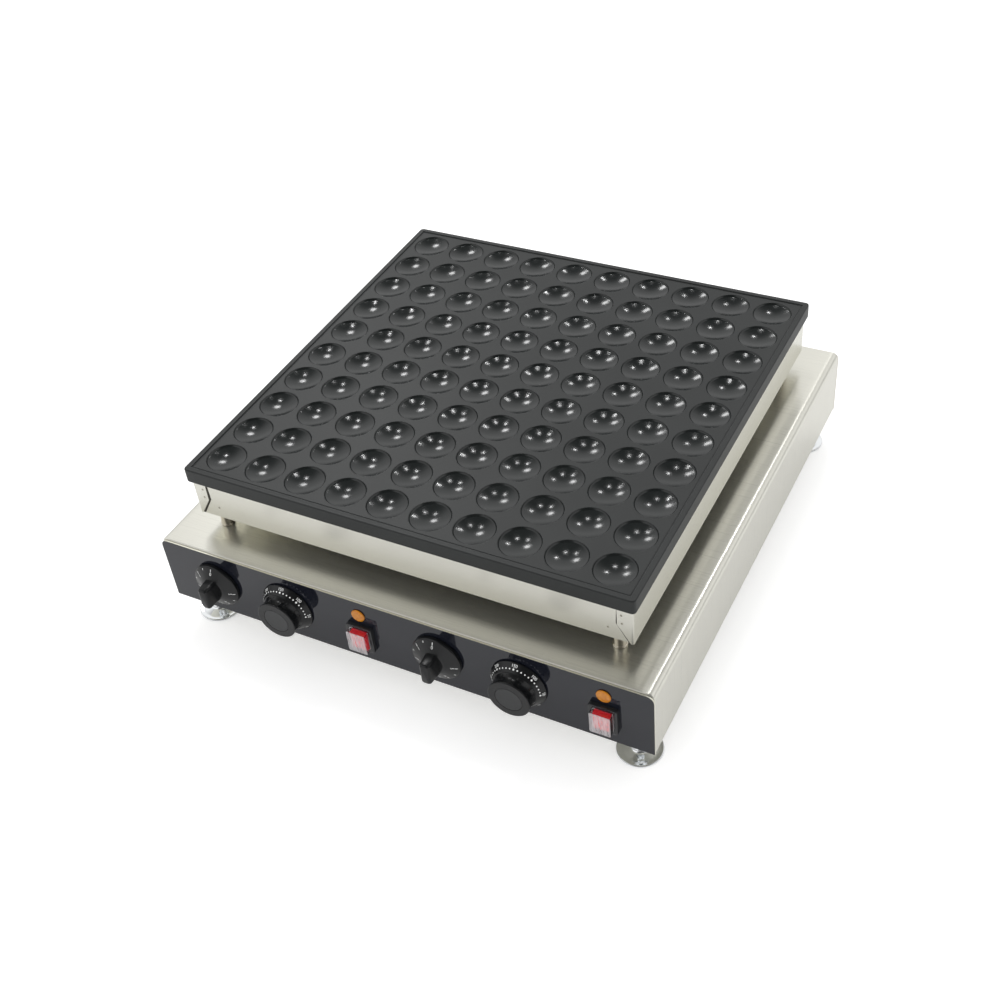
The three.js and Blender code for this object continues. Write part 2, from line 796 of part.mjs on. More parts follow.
// Thermostat knob: conical dial, fluted hub, mushroom head with a disc let into it
const headUnder = headReach - headThickness;
const capSeat = headReach - capThickness - fit;
const waistReach = (dialTopReach + headUnder) / 2;
let thermostatKnob = turned(
  [
    [0, skirtLift],
    [dialRadius, skirtLift],
    [dialRadius, skirtLift + dialEdge],
    [dialTopRadius, dialTopReach],
    [hubRadius, dialTopReach],
    [hubRadius * hubWaistShare, waistReach],
    [headRadius - headRound, headUnder],
    [headRadius, headUnder + headRound],
    [headRadius, headReach - headRound],
    [headRadius - headRound, headReach],
    [capRadius + fit, headReach],
    [capRadius + fit, capSeat],
    [0, capSeat],
  ],
  knobFacets,
);
const flute = rod(fluteRadius, dialTopReach + headRound, headUnder, fluteFacets);
for (let i = 0; i < fluteCount; i += 1) {
  const angle = ((i + 0.5) / fluteCount) * 360;
  thermostatKnob = thermostatKnob.subtract(flute.translate([hubRadius, 0, 0]).rotate([0, 0, angle]));
}
thermostatKnob = thermostatKnob.subtract(socket);
const cap = rod(capRadius, capSeat + fit, headReach, knobFacets);

// Shaft with a flat along its outer half
const shaftLength = shaftOut - bodyFront + shaftIn;
const shaftFlat = box(
  shaftRadius * shaftFlatShare,
  shaftRadius + cutOver,
  -shaftRadius - cutOver,
  shaftRadius + cutOver,
  shaftOut - shaftLength / 2,
  shaftOut + cutOver,
);
const shaft = rod(shaftRadius, shaftOut - shaftLength, shaftOut, smallFacets).subtract(shaftFlat);
const shaftBore = rod(shaftRadius + fit, bodyFront - shaftIn - fit, bodyFront + cutOver, smallFacets);

// Body behind the panel, bored for its shaft
function controlBody(width, height) {
  const loop = roundedLoop(-width / 2, width / 2, -height / 2, height / 2, evenRadii(bodyRound));
  return upright(loop, bodyFront - controlBodyDepth, bodyFront).subtract(shaftBore);
}
const timerBody = controlBody(timerBodyWidth, timerBodyHeight);
const thermostatBody = controlBody(thermostatBodyWidth, thermostatBodyHeight);

// Indicator lamp: lens with a stem, and the lamp body it is pressed in
const lensBack = bodyFront - lensStemLength;
const lens = turned(
  [
    [0, lensBack],
    [lensStemRadius, lensBack],
    [lensStemRadius, fit],
    [lensRadius, fit],
    [lensRadius, fit + lensEdge],
    [lensRadius * lensShoulderShare, fit + (lensEdge + lensRise) / 2],
    [lensRadius / 2, fit + lensRise * lensCrownShare],
    [0, fit + lensRise],
  ],
  smallFacets,
);
const lampBody = rod(lampBodyRadius, bodyFront - lampBodyDepth, bodyFront, smallFacets).subtract(
  rod(lensStemRadius + fit, lensBack - fit, bodyFront + cutOver, smallFacets),
);

// Switch: bezel and body in one piece with a pocket, the rocker on two pins, a clear cover over it
const pivotReach = -rockerPivotDepth;
const pocketHalfWidth = rockerWidth / 2 + fit;
const pocketFloor = pivotReach - rockerKeel - pocketFloorFit;
const rectangle = (halfX, halfY, radius = 0) => roundedLoop(-halfX, halfX, -halfY, halfY, evenRadii(radius));
let switchHousing = upright(rectangle(bezelWidth / 2, bezelHeight / 2, bezelRound), fit, bezelReach);
switchHousing = switchHousing.add(
  upright(rectangle(switchBodyWidth / 2, switchBodyHeight / 2, 0), bodyFront - switchBodyDepth, bezelReach / 2),
);
switchHousing = switchHousing.subtract(
  upright(rectangle(pocketHalfWidth, pocketHalfHeight), pocketFloor, bezelReach + cutOver),
);
const pinHalf = rockerWidth / 2 + pinLength;
const pinRod = (radius, half) => rod(radius, -half, half, smallFacets).rotate([0, 90, 0]);
const pinHole = pinRod(pinRadius + fit, pinHalf + fit);
switchHousing = switchHousing.subtract(pinHole.translate([0, 0, pivotReach]));
const rockerOutline = [
  [-rockerHalfHeight, rockerEdgeRise * rockerSkirtShare],
  [-rockerKeelHalf, -rockerKeel],
  [rockerKeelHalf, -rockerKeel],
  [rockerHalfHeight, rockerEdgeRise * rockerSkirtShare],
];
for (const [heightShare, riseShare] of rockerTopShares) {
  rockerOutline.push([heightShare * rockerHalfHeight, riseShare * rockerEdgeRise]);
}
const rockerLoop = rockerOutline.map(([height, rise]) => new THREE.Vector2(height, rise));
let rocker = upright(rockerLoop, -rockerWidth / 2, rockerWidth / 2).rotate([90, 0, 90]);
rocker = rocker.add(pinRod(pinRadius, pinHalf));
rocker = rocker.rotate([rockerTilt, 0, 0]).translate([0, 0, pivotReach]);
const coverHalfWidth = rockerWidth / 2 + coverSideGap + coverWall;
let cover = upright(rectangle(coverHalfWidth, coverHalfHeight, coverRound), bezelReach + fit, coverReach);
cover = cover.subtract(
  upright(
    rectangle(coverHalfWidth - coverWall, coverHalfHeight - coverWall, coverRound - coverWall),
    bezelReach - cutOver,
    coverReach - coverWall,
  ),
);

// Both sets of controls, and the holes they need in the panel
const panelHoles = [];
const bodyRearY = panelFace - bodyFront + controlBodyDepth;
const bulbFrontY = bulbRearY - bulbLength;
for (const [name, side] of sides) {
  const unitX = unitShift + (side * unitPitch) / 2;
  const timerX = unitX - controlSpacing;
  const switchX = unitX + controlSpacing;
  const holeRadius = shaftRadius + slideFit;
  const lampHoleRadius = lensStemRadius + fit;
  const [cutX, cutZ] = [switchBodyWidth / 2 + fit, switchBodyHeight / 2 + fit];
  panelHoles.push(holeLoop(timerX, knobHeight, holeRadius));
  panelHoles.push(holeLoop(unitX, knobHeight, holeRadius));
  panelHoles.push(holeLoop(switchX, lampHeight, lampHoleRadius));
  panelHoles.push(
    roundedLoop(switchX - cutX, switchX + cutX, switchHeight - cutZ, switchHeight + cutZ, evenRadii(0)),
  );
  place(`timer_knob_${name}`, onPanel(timerKnob, timerX, knobHeight), ...knobBlack);
  place(`timer_shaft_${name}`, onPanel(shaft, timerX, knobHeight), ...stainless);
  place(`timer_body_${name}`, onPanel(timerBody, timerX, knobHeight), ...bodyGrey);
  place(`thermostat_knob_${name}`, onPanel(thermostatKnob, unitX, knobHeight), ...knobBlack);
  place(`thermostat_knob_cap_${name}`, onPanel(cap, unitX, knobHeight), ...capGrey);
  place(`thermostat_shaft_${name}`, onPanel(shaft, unitX, knobHeight), ...stainless);
  place(`thermostat_body_${name}`, onPanel(thermostatBody, unitX, knobHeight), ...bodyGrey);
  place(`lamp_lens_${name}`, onPanel(lens, switchX, lampHeight), ...amber);
  place(`lamp_body_${name}`, onPanel(lampBody, switchX, lampHeight), ...bodyGrey);
  place(`switch_housing_${name}`, onPanel(switchHousing, switchX, switchHeight), ...knobBlack);
  place(`switch_rocker_${name}`, onPanel(rocker, switchX, switchHeight), ...rockerRed);
  place(`switch_cover_${name}`, onPanel(cover, switchX, switchHeight), ...clear);

  // Sensing bulb below the plate; its capillary runs down the sleeve to the thermostat
  const zone = side * zoneX;
  const dropZ = baseTop - capillaryDrop;
  const bulbEnds = [
    new THREE.Vector3(zone, bulbRearY, elementAxisZ),
    new THREE.Vector3(zone, bulbFrontY, elementAxisZ),
  ];
  const capillaryCorners = [
    new THREE.Vector3(zone, bulbFrontY + cutOver, elementAxisZ),
    new THREE.Vector3(zone, sleeveY, elementAxisZ),
    new THREE.Vector3(zone, sleeveY, dropZ),
    new THREE.Vector3(unitX, (sleeveY + bodyRearY) / 2, knobHeight),
    new THREE.Vector3(unitX, bodyRearY + fit, knobHeight),
  ];
  const capillaryChain = bentChain(capillaryCorners, capillaryBend, bendSteps);
  const bulb = bar(bulbEnds, elementRadius, elementSides);
  const capillary = bar(capillaryChain, capillaryRadius, capillarySides);
  place(`thermostat_bulb_${name}`, bulb.add(capillary), ...copper);
}
place("control_panel", alongY(panelOutline, panelFace, panelFace + panelThickness, panelHoles), ...panelBlack);

// Heating elements: one tube bent to four runs under each half of the plate
const turnRadius = elementRunPitch / 2;
const turnY = endWallInner - elementTurnSetback - elementRadius - turnRadius;
const elementEndY = elementEndSetback - housingHalf;
const elementChain = [new THREE.Vector3(-zoneHalf, elementEndY, elementAxisZ)];
for (let run = 0; run < elementRunCount - 1; run += 1) {
  const end = run % 2 === 0 ? 1 : -1;
  const middle = -zoneHalf + run * elementRunPitch + turnRadius;
  for (let i = 0; i <= turnSteps; i += 1) {
    const angle = Math.PI * (1 - i / turnSteps);
    const x = middle + turnRadius * Math.cos(angle);
    const y = end * (turnY + turnRadius * Math.sin(angle));
    elementChain.push(new THREE.Vector3(x, y, elementAxisZ));
  }
}
elementChain.push(new THREE.Vector3(zoneHalf, elementEndY, elementAxisZ));
const element = bar(elementChain, elementRadius, elementSides);

// Clamp bars that hold each element to the plate's bosses
const clampBar = box(-clampHalf, clampHalf, -clampWidth / 2, clampWidth / 2, clampTop - clampThickness, clampTop);

// Sleeves from the base into the housing, with a collar in the open gap
const sleeveBottom = baseTop - baseSheet - sleeveOverrun;
const sleeveTop = housingFloorZ + housingSheet + sleeveOverrun;
const sleeve = turned(
  [
    [sleeveInnerRadius, sleeveBottom],
    [sleeveOuterRadius, sleeveBottom],
    [sleeveOuterRadius, baseTop + fit],
    [sleeveCollarRadius, baseTop + fit],
    [sleeveCollarRadius, housingFloorZ - fit],
    [sleeveOuterRadius, housingFloorZ - fit],
    [sleeveOuterRadius, sleeveTop],
    [sleeveInnerRadius, sleeveTop],
    [sleeveInnerRadius, sleeveBottom],
  ],
  smallFacets,
);
for (const [name, side] of sides) {
  const zone = side * zoneX;
  place(`heating_element_${name}`, element.translate([zone, 0, 0]), ...elementGrey);
  place(`heater_clamp_front_${name}`, clampBar.translate([zone, clampFrontY, 0]), ...stainless);
  place(`heater_clamp_rear_${name}`, clampBar.translate([zone, clampRearY, 0]), ...stainless);
  place(`wire_sleeve_${name}`, sleeve.translate([zone, sleeveY, 0]), ...zinc);
}

export default group;
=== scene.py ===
"""Electric mini pancake maker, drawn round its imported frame. Sizes are in millimetres up to each mesh."""

import math

import bmesh
import bpy
import mathutils
import numpy as np
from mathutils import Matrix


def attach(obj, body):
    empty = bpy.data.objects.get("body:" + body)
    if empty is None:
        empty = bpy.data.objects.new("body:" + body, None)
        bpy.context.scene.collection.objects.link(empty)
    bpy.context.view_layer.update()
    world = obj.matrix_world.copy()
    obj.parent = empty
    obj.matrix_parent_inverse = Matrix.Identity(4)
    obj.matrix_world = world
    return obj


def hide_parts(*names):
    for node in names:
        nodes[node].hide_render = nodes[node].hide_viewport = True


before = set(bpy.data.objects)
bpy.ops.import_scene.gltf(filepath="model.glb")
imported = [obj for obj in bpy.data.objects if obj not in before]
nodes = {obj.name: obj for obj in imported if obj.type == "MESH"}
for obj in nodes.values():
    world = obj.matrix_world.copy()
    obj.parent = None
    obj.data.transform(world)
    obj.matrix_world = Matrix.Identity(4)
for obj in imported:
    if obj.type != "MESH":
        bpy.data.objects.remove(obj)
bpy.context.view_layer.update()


# Studio
# The cooker stands on a pale seamless floor. Four soft lamps hang behind and above it, as in a product
# studio. The sky is white, but mirrors see it dimmer overhead, along the horizon and behind the camera.

camera_data = bpy.data.cameras.new("studio_camera")
camera_data.lens = 49.385
camera_data.sensor_width = 36
camera = bpy.data.objects.new("studio_camera", camera_data)
camera.location = (0.5948, -1.0171, 1.0765)
camera.rotation_euler = np.radians([48.4378, 4.9174, 27.0644])
bpy.context.scene.collection.objects.link(camera)
bpy.context.scene.camera = camera
bpy.context.scene.view_settings.view_transform = "Standard"


def start_material(name):
    """New material, its shader, a function that adds a node with settings and one that links sockets."""
    material = bpy.data.materials.new(name)
    material.use_nodes = True
    tree = material.node_tree

    def add(kind, settings=None, **inputs):
        node = tree.nodes.new(kind)
        for key, value in (settings or {}).items():
            setattr(node, key, value)
        for key, value in inputs.items():
            node.inputs[key.replace("_", " ")].default_value = value
        return node

    return material, tree.nodes["Principled BSDF"], add, tree.links.new


def two_tones(add, low, low_colour, high, high_colour):
    """Colour ramp node that goes from one colour at low to the other at high."""
    node = add("ShaderNodeValToRGB")
    for stop, position, colour in zip(node.color_ramp.elements, (low, high), (low_colour, high_colour)):
        stop.position = position
        stop.color = (*colour, 1)
    return node


# The camera and every mirror-like surface see the floor white; its shaded part keeps the cooker's shadow.
floor_finish, floor_shader, add, link = start_material("studio_floor_paint")
floor_shader.inputs["Base Color"].default_value = (0.8, 0.8, 0.8, 1)
floor_shader.inputs["Roughness"].default_value = 0.9
floor_shader.inputs["Specular IOR Level"].default_value = 0.1
seen = add("ShaderNodeLightPath")
mirror_lift = add("ShaderNodeMath", {"operation": "MULTIPLY"})
mirror_lift.inputs[1].default_value = 0.08
camera_lift = add("ShaderNodeMath", {"operation": "MULTIPLY_ADD"})
camera_lift.inputs[1].default_value = 0.41
link(seen.outputs["Is Glossy Ray"], mirror_lift.inputs[0])
link(seen.outputs["Is Camera Ray"], camera_lift.inputs[0])
link(mirror_lift.outputs[0], camera_lift.inputs[2])
floor_shader.inputs["Emission Color"].default_value = (1, 1, 1, 1)
link(camera_lift.outputs[0], floor_shader.inputs["Emission Strength"])
floor_mesh = bpy.data.meshes.new("studio_floor")
floor_half = 9
floor_corners = [(x * floor_half, y * floor_half, 0) for x, y in ((-1, -1), (1, -1), (1, 1), (-1, 1))]
floor_mesh.from_pydata(floor_corners, [], [(0, 1, 2, 3)])
floor_mesh.materials.append(floor_finish)
studio_floor = bpy.data.objects.new("studio_floor", floor_mesh)
bpy.context.scene.collection.objects.link(studio_floor)

# Sky: its strength falls towards the horizon, overhead and on the camera's side. Each fall has a direction,
# how far the line of sight agrees with it where the fall begins and ends, and the strength left.
sky = bpy.data.worlds.new("studio_sky")
sky.use_nodes = True
bpy.context.scene.world = sky
sky_tree = sky.node_tree
sky_nodes = sky_tree.nodes
sky_light = sky_nodes["Background"]
direction = sky_nodes.new("ShaderNodeTexCoord")
sky_falls = [
    ((0, 0, 1), 0.35, 0.0, 0.3),
    ((0, 0, 1), 0.62, 0.93, 0.16),
    ((0.4, -0.69, 0.6), 0.72, 0.92, 0.12),
]
dimmed = None
for towards, seen_from, seen_to, strength in sky_falls:
    along = sky_nodes.new("ShaderNodeVectorMath")
    along.operation = "DOT_PRODUCT"
    along.inputs[1].default_value = towards
    fall = sky_nodes.new("ShaderNodeMapRange")
    fall.interpolation_type = "SMOOTHSTEP"
    fall.inputs["From Min"].default_value = seen_from
    fall.inputs["From Max"].default_value = seen_to
    fall.inputs["To Min"].default_value = 1.0
    fall.inputs["To Max"].default_value = strength
    sky_tree.links.new(direction.outputs["Generated"], along.inputs[0])
    sky_tree.links.new(along.outputs["Value"], fall.inputs["Value"])
    if dimmed:
        both = sky_nodes.new("ShaderNodeMath")
        both.operation = "MULTIPLY"
        sky_tree.links.new(dimmed.outputs[0], both.inputs[0])
        sky_tree.links.new(fall.outputs["Result"], both.inputs[1])
        dimmed = both
    else:
        dimmed = fall
sky_path = sky_nodes.new("ShaderNodeLightPath")
sky_white = sky_nodes.new("ShaderNodeMix")
sky_white.inputs["A"].default_value = 1.0
sky_tree.links.new(dimmed.outputs[0], sky_white.inputs["B"])
sky_tree.links.new(sky_path.outputs["Is Glossy Ray"], sky_white.inputs["Factor"])
sky_tree.links.new(sky_white.outputs[0], sky_light.inputs["Strength"])
sky_light.inputs["Color"].default_value = (1, 1, 1, 1)

# Lamps: azimuth from straight behind towards the left, elevation, width, power
lamp_distance = 2.6
lamps_face = (0, 0, 0.2)
lamps = [
    ("lamp_rear_left", 44.3, 42.4, 0.4, 6),
    ("lamp_high_left", 59.2, 59.9, 0.13, 3.2),
    ("lamp_high_rear", 17.9, 71.1, 0.13, 3.2),
    ("lamp_rear", -1.7, 50.6, 0.13, 3.2),
]
for name, azimuth, elevation, width, power in lamps:
    lamp_data = bpy.data.lights.new(name, "AREA")
    lamp_data.shape = "DISK"
    lamp_data.size = width
    lamp_data.energy = power
    lamp = bpy.data.objects.new(name, lamp_data)
    a, e = math.radians(azimuth), math.radians(elevation)
    away = np.array([-math.sin(a) * math.cos(e), math.cos(a) * math.cos(e), math.sin(e)])
    lamp.location = away * lamp_distance + lamps_face
    lamp.rotation_euler = (math.pi / 2 - e, 0, math.pi + a)
    bpy.context.scene.collection.objects.link(lamp)


# Baking plate
# One aluminium casting with ten rows of ten dished moulds and a low rim round its edge, machined below.
# Its baked-on dark coat is faintly pebbled, glossy in the moulds and scoured dull on top. Eight bosses
# below take the clamps.


def grid_quads(rows, columns, closed=True):
    """Quads between rows of points; with closed, the last column joins the first."""
    across = columns if closed else columns - 1
    row, column = np.meshgrid(np.arange(rows - 1), np.arange(across), indexing="ij")
    here = row * columns + column
    beside = row * columns + (column + 1) % columns
    return np.stack([here, beside, beside + columns, here + columns], axis=-1).reshape(-1, 4).tolist()


def together(*parts):
    """One pair of points and faces from several."""
    points, faces, first = [], [], 0
    for part_points, part_faces in parts:
        points.append(np.asarray(part_points, float).reshape(-1, 3))
        faces += [[first + corner for corner in face] for face in part_faces]
        first += len(points[-1])
    return np.concatenate(points), faces


def finished_mesh(thing):
    """New mesh of an object, with its modifiers or its curve's settings applied."""
    view = bpy.context.evaluated_depsgraph_get()
    return bpy.data.meshes.new_from_object(thing.evaluated_get(view))


def make_piece(name, part, finish, body, *stands_for, crease=38, thickness=0, drill=None):
    """Piece from points in millimetres. Double points are merged and faces turned outward, a sheet gets its
    thickness, the drill's solids are cut out, and edges over crease stay sharp."""
    points, faces = part
    mesh = bpy.data.meshes.new(name)
    mesh.from_pydata((np.asarray(points) / 1000).tolist(), [], faces)
    work = bmesh.new()
    work.from_mesh(mesh)
    bmesh.ops.remove_doubles(work, verts=work.verts, dist=2e-6)
    bmesh.ops.recalc_face_normals(work, faces=work.faces)
    if thickness:
        middle = mathutils.Vector(np.mean(points, axis=0) / 1000)
        spread = 0
        for face in work.faces:
            spread += face.normal.dot(face.calc_center_median() - middle) * face.calc_area()
        if spread < 0:
            bmesh.ops.reverse_faces(work, faces=work.faces)
    work.to_mesh(mesh)
    work.free()
    piece = bpy.data.objects.new(name, mesh)
    bpy.context.scene.collection.objects.link(piece)
    if thickness:
        wall = piece.modifiers.new("sheet", "SOLIDIFY")
        wall.thickness = thickness / 1000
        wall.offset = -1
        wall.use_even_offset = True
        piece.data = finished_mesh(piece)
        piece.modifiers.clear()
        bpy.data.meshes.remove(mesh)
    if drill:
        drill_mesh = bpy.data.meshes.new("drill")
        drill_mesh.from_pydata((np.asarray(drill[0]) / 1000).tolist(), [], drill[1])
        drill_object = bpy.data.objects.new("drill", drill_mesh)
        bpy.context.scene.collection.objects.link(drill_object)
        holes = piece.modifiers.new("holes", "BOOLEAN")
        holes.object = drill_object
        piece.data = finished_mesh(piece)
        piece.modifiers.clear()
        bpy.data.objects.remove(drill_object)
        bpy.data.meshes.remove(drill_mesh)
    piece.data.shade_smooth()
    piece.data.set_sharp_from_angle(angle=math.radians(crease))
    piece.data.materials.append(finish)
    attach(piece, body)
    if stands_for:
        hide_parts(*stands_for)


def softened(corners, radii, steps=4):
    """Line through corners. Each inner corner b becomes the curve (1-t)²a + 2t(1-t)b + t²c, and one more
    point lies on the straight beyond each of its ends."""
    corners = np.asarray(corners, float)
    radii = np.broadcast_to(radii, len(corners) - 2)
    t = np.linspace(0, 1, steps + 1)[:, None]
    line = [corners[:1]]
    for before, here, after, radius in zip(corners, corners[1:], corners[2:], radii):
        back_length, on_length = np.linalg.norm(before - here), np.linalg.norm(after - here)
        back, on = (before - here) / back_length, (after - here) / on_length
        room_back, room_on = back_length / 2, on_length / 2
        a, c = here + back * min(radius, room_back), here + on * min(radius, room_on)
        beyond = 1.25 * radius
        line.append([here + back * min(beyond, room_back)])
        line.append((1 - t) ** 2 * a + 2 * t * (1 - t) * here + t**2 * c)
        line.append([here + on * min(beyond, room_on)])
    line.append(corners[-1:])
    return np.concatenate(line)


mould_pitch = 48.3
moulds_across = 10
field_half = moulds_across * mould_pitch / 2
plate_middle_y = 3.7
plate_top = 200

coat, shader, add, link = start_material("non_stick_coat")
place = add("ShaderNodeTexCoord").outputs["Object"]
cloud = add("ShaderNodeTexNoise", Scale=14.0, Detail=3.0)
grain = add("ShaderNodeTexNoise", Scale=900.0, Detail=2.0)
pebble = add("ShaderNodeTexNoise", Scale=2600.0, Detail=1.0)
for texture in (cloud, grain, pebble):
    link(place, texture.inputs["Vector"])

# Two slow tones of the coat, and its wear: the top and all that lies outside the moulds' field are scoured
tone = two_tones(add, 0.35, (0.0075, 0.0095, 0.0094), 0.7, (0.0112, 0.0136, 0.0134))
link(cloud.outputs["Fac"], tone.inputs["Fac"])
link(tone.outputs["Color"], shader.inputs["Base Color"])
from_middle = add("ShaderNodeVectorMath", {"operation": "SUBTRACT"})
from_middle.inputs[1].default_value = (0, plate_middle_y / 1000, 0)
outward = add("ShaderNodeVectorMath", {"operation": "ABSOLUTE"})
spot = add("ShaderNodeSeparateXYZ")
farthest = add("ShaderNodeMath", {"operation": "MAXIMUM"})
on_side = add("ShaderNodeMapRange", From_Min=field_half / 1000, From_Max=(field_half + 0.5) / 1000)
on_top = add("ShaderNodeMapRange", From_Min=(plate_top - 0.7) / 1000, From_Max=(plate_top - 0.1) / 1000)
worn = add("ShaderNodeMath", {"operation": "MAXIMUM"})
link(place, from_middle.inputs[0])
link(from_middle.outputs[0], outward.inputs[0])
link(outward.outputs[0], spot.inputs[0])
link(spot.outputs["X"], farthest.inputs[0])
link(spot.outputs["Y"], farthest.inputs[1])
link(farthest.outputs[0], on_side.inputs["Value"])
link(spot.outputs["Z"], on_top.inputs["Value"])
link(on_side.outputs["Result"], worn.inputs[0])
link(on_top.outputs["Result"], worn.inputs[1])
scoured = add("ShaderNodeMapRange", To_Min=0.09, To_Max=0.4)
gleam = add("ShaderNodeMapRange", To_Min=0.45, To_Max=0.43)
link(worn.outputs[0], scoured.inputs["Value"])
link(worn.outputs[0], gleam.inputs["Value"])
link(gleam.outputs["Result"], shader.inputs["Specular IOR Level"])
dullness = add("ShaderNodeMath", {"operation": "MULTIPLY_ADD"})
dullness.inputs[1].default_value = 0.12
link(grain.outputs["Fac"], dullness.inputs[0])
link(scoured.outputs["Result"], dullness.inputs[2])
link(dullness.outputs[0], shader.inputs["Roughness"])
skin_bump = add("ShaderNodeBump", Strength=0.19, Distance=0.0001)
link(grain.outputs["Fac"], skin_bump.inputs["Height"])
fine_bump = add("ShaderNodeBump", Strength=0.25, Distance=0.00004)
link(pebble.outputs["Fac"], fine_bump.inputs["Height"])
link(skin_bump.outputs["Normal"], fine_bump.inputs["Normal"])
link(fine_bump.outputs["Normal"], shader.inputs["Normal"])
shader.inputs["IOR"].default_value = 1.52

# Mould: rings run from the square cell's edge over the lip, down the short steep wall and along the shallow
# bowl; its height is bowl_curve - sqrt(bowl_curve² - r²) above the deepest point.
mould_sides = 40
lip_radius = 21.35
wall_foot = 20.1
bowl_curve = 50
bowl_depth = 6
bowl_radii = np.array([19.4, 16.6, 13.6, 10.2, 6.4, 2.6, 0])
bowl_heights = bowl_curve - np.sqrt(bowl_curve**2 - bowl_radii**2) - bowl_depth
wall_line = softened(
    [[23.3, 0], [lip_radius, 0], [wall_foot, bowl_heights[0] + 0.1], [bowl_radii[1], bowl_heights[1]]],
    [0.4, 0.8],
    3,
)[:-1]
mould_line = np.concatenate([wall_line, np.c_[bowl_radii, bowl_heights][1:]])
ring_angle = np.arange(mould_sides) * 2 * np.pi / mould_sides
ring_way = np.stack([np.cos(ring_angle), np.sin(ring_angle)], axis=-1)
cell_edge = ring_way * (mould_pitch / 2) / np.abs(ring_way).max(axis=1, keepdims=True)
rings = np.concatenate([cell_edge[None], mould_line[:, None, :1] * ring_way[None]])
heights = np.concatenate([[0], mould_line[:, 1]])
steps_out = (np.arange(moulds_across) - (moulds_across - 1) / 2) * mould_pitch
centre_x, centre_y = np.meshgrid(steps_out, steps_out)
centres = np.stack([centre_x.ravel(), centre_y.ravel()], axis=-1)
mould_points = np.empty((len(centres), *rings.shape[:2], 3))
mould_points[..., :2] = centres[:, None, None, :] + rings[None]
mould_points[..., 2] = plate_top + heights[None, :, None]
mould_quads = np.array(grid_quads(len(rings), mould_sides))
first_points = np.arange(len(centres)) * len(rings) * mould_sides
mould_faces = mould_quads[None] + first_points[:, None, None]
moulds = (mould_points.reshape(-1, 3), mould_faces.reshape(-1, 4).tolist())

# Rim: a profile of half width and height carried round the square; past corner_start its corners are arcs.
# It runs from the field over a fine groove and the raised border, and down the plate's edge.
corner_start = 245.5
corner_steps = 7
rim_groove = softened(
    [[242.3, 0], [242.9, -0.35], [243.5, -0.35], [243.9, 0.8], [245.2, 0.8]],
    [0.3, 0.2, 0.4],
    3,
)
rim_edge = softened([[246.4, 0.62], [249.95, 0.55], [250, -16], [247.2, -16]], [1.3, 1.6], 5)
rim_line = np.concatenate([[[field_half, 0]], rim_groove, rim_edge])
side_angle = np.radians(np.linspace(-45, 45, mould_sides // 4 + 1))
side_points = (steps_out[:, None] + (mould_pitch / 2) * np.tan(side_angle)[None, :-1]).ravel()[1:]
arc = np.linspace(0, np.pi / 2, corner_steps)
half = rim_line[:, :1]
corner_radius = np.maximum(half - corner_start, 0)
straight = np.stack([half + 0 * side_points, side_points + 0 * half], axis=-1)
round_x = half - corner_radius + corner_radius * np.cos(arc)
round_y = half - corner_radius + corner_radius * np.sin(arc)
one_side = np.concatenate([straight, np.stack([round_x, round_y], axis=-1)], axis=1)
quarter_turns = [np.array([[1, 0], [0, 1]]), np.array([[0, -1], [1, 0]])]
quarter_turns += [-quarter_turns[0], -quarter_turns[1]]
rim_rings = np.concatenate([one_side @ turn.T for turn in quarter_turns], axis=1)
rim_heights = np.broadcast_to(plate_top + rim_line[:, 1:, None], (*rim_rings.shape[:2], 1))
rim_points = np.concatenate([rim_rings, rim_heights], axis=-1)
rim_count = rim_points.shape[1]
underside = [list(range((len(rim_line) - 1) * rim_count, len(rim_line) * rim_count))]
rim = (rim_points.reshape(-1, 3), grid_quads(len(rim_line), rim_count) + underside)


def turned(line, sides=48):
    """Turned solid: each point (r, z) of the line runs round Z as (r cos a, r sin a, z)."""
    line = np.asarray(line, float)
    angle = np.arange(sides) * 2 * np.pi / sides
    x = line[:, :1] * np.cos(angle)
    y = line[:, :1] * np.sin(angle)
    points = np.stack([x, y, np.broadcast_to(line[:, 1:], x.shape)], axis=-1)
    return points.reshape(-1, 3), grid_quads(len(line), sides)


def moved(part, x=0, y=0, z=0):
    """The part shifted by x, y and z."""
    return np.asarray(part[0]) + (x, y, z), part[1]


# Clamp bosses: each heated half has two beside each other in a front and a rear row
boss_line = [[0, 175.7], [6.6, 175.7], [7, 176.1], [7, 185], [0, 185]]
zone_x = 122
boss_step = 56
boss_columns = [side * zone_x + step for side in (-1, 1) for step in (-boss_step, boss_step)]
boss_rows = (-110, 130)
bosses = [moved(turned(boss_line, 24), x, y) for x in boss_columns for y in boss_rows]
make_piece(
    "baking_plate_casting",
    moved(together(moulds, rim, *bosses), y=plate_middle_y),
    coat,
    "cooker",
    "baking_plate",
    crease=60,
)


# Housing under the plate
# Four walls of 1.2 mm stainless sheet, brushed level. The side walls' tabs bend round the corners and are
# spot welded to the front and rear walls. A tray closes the housing below.


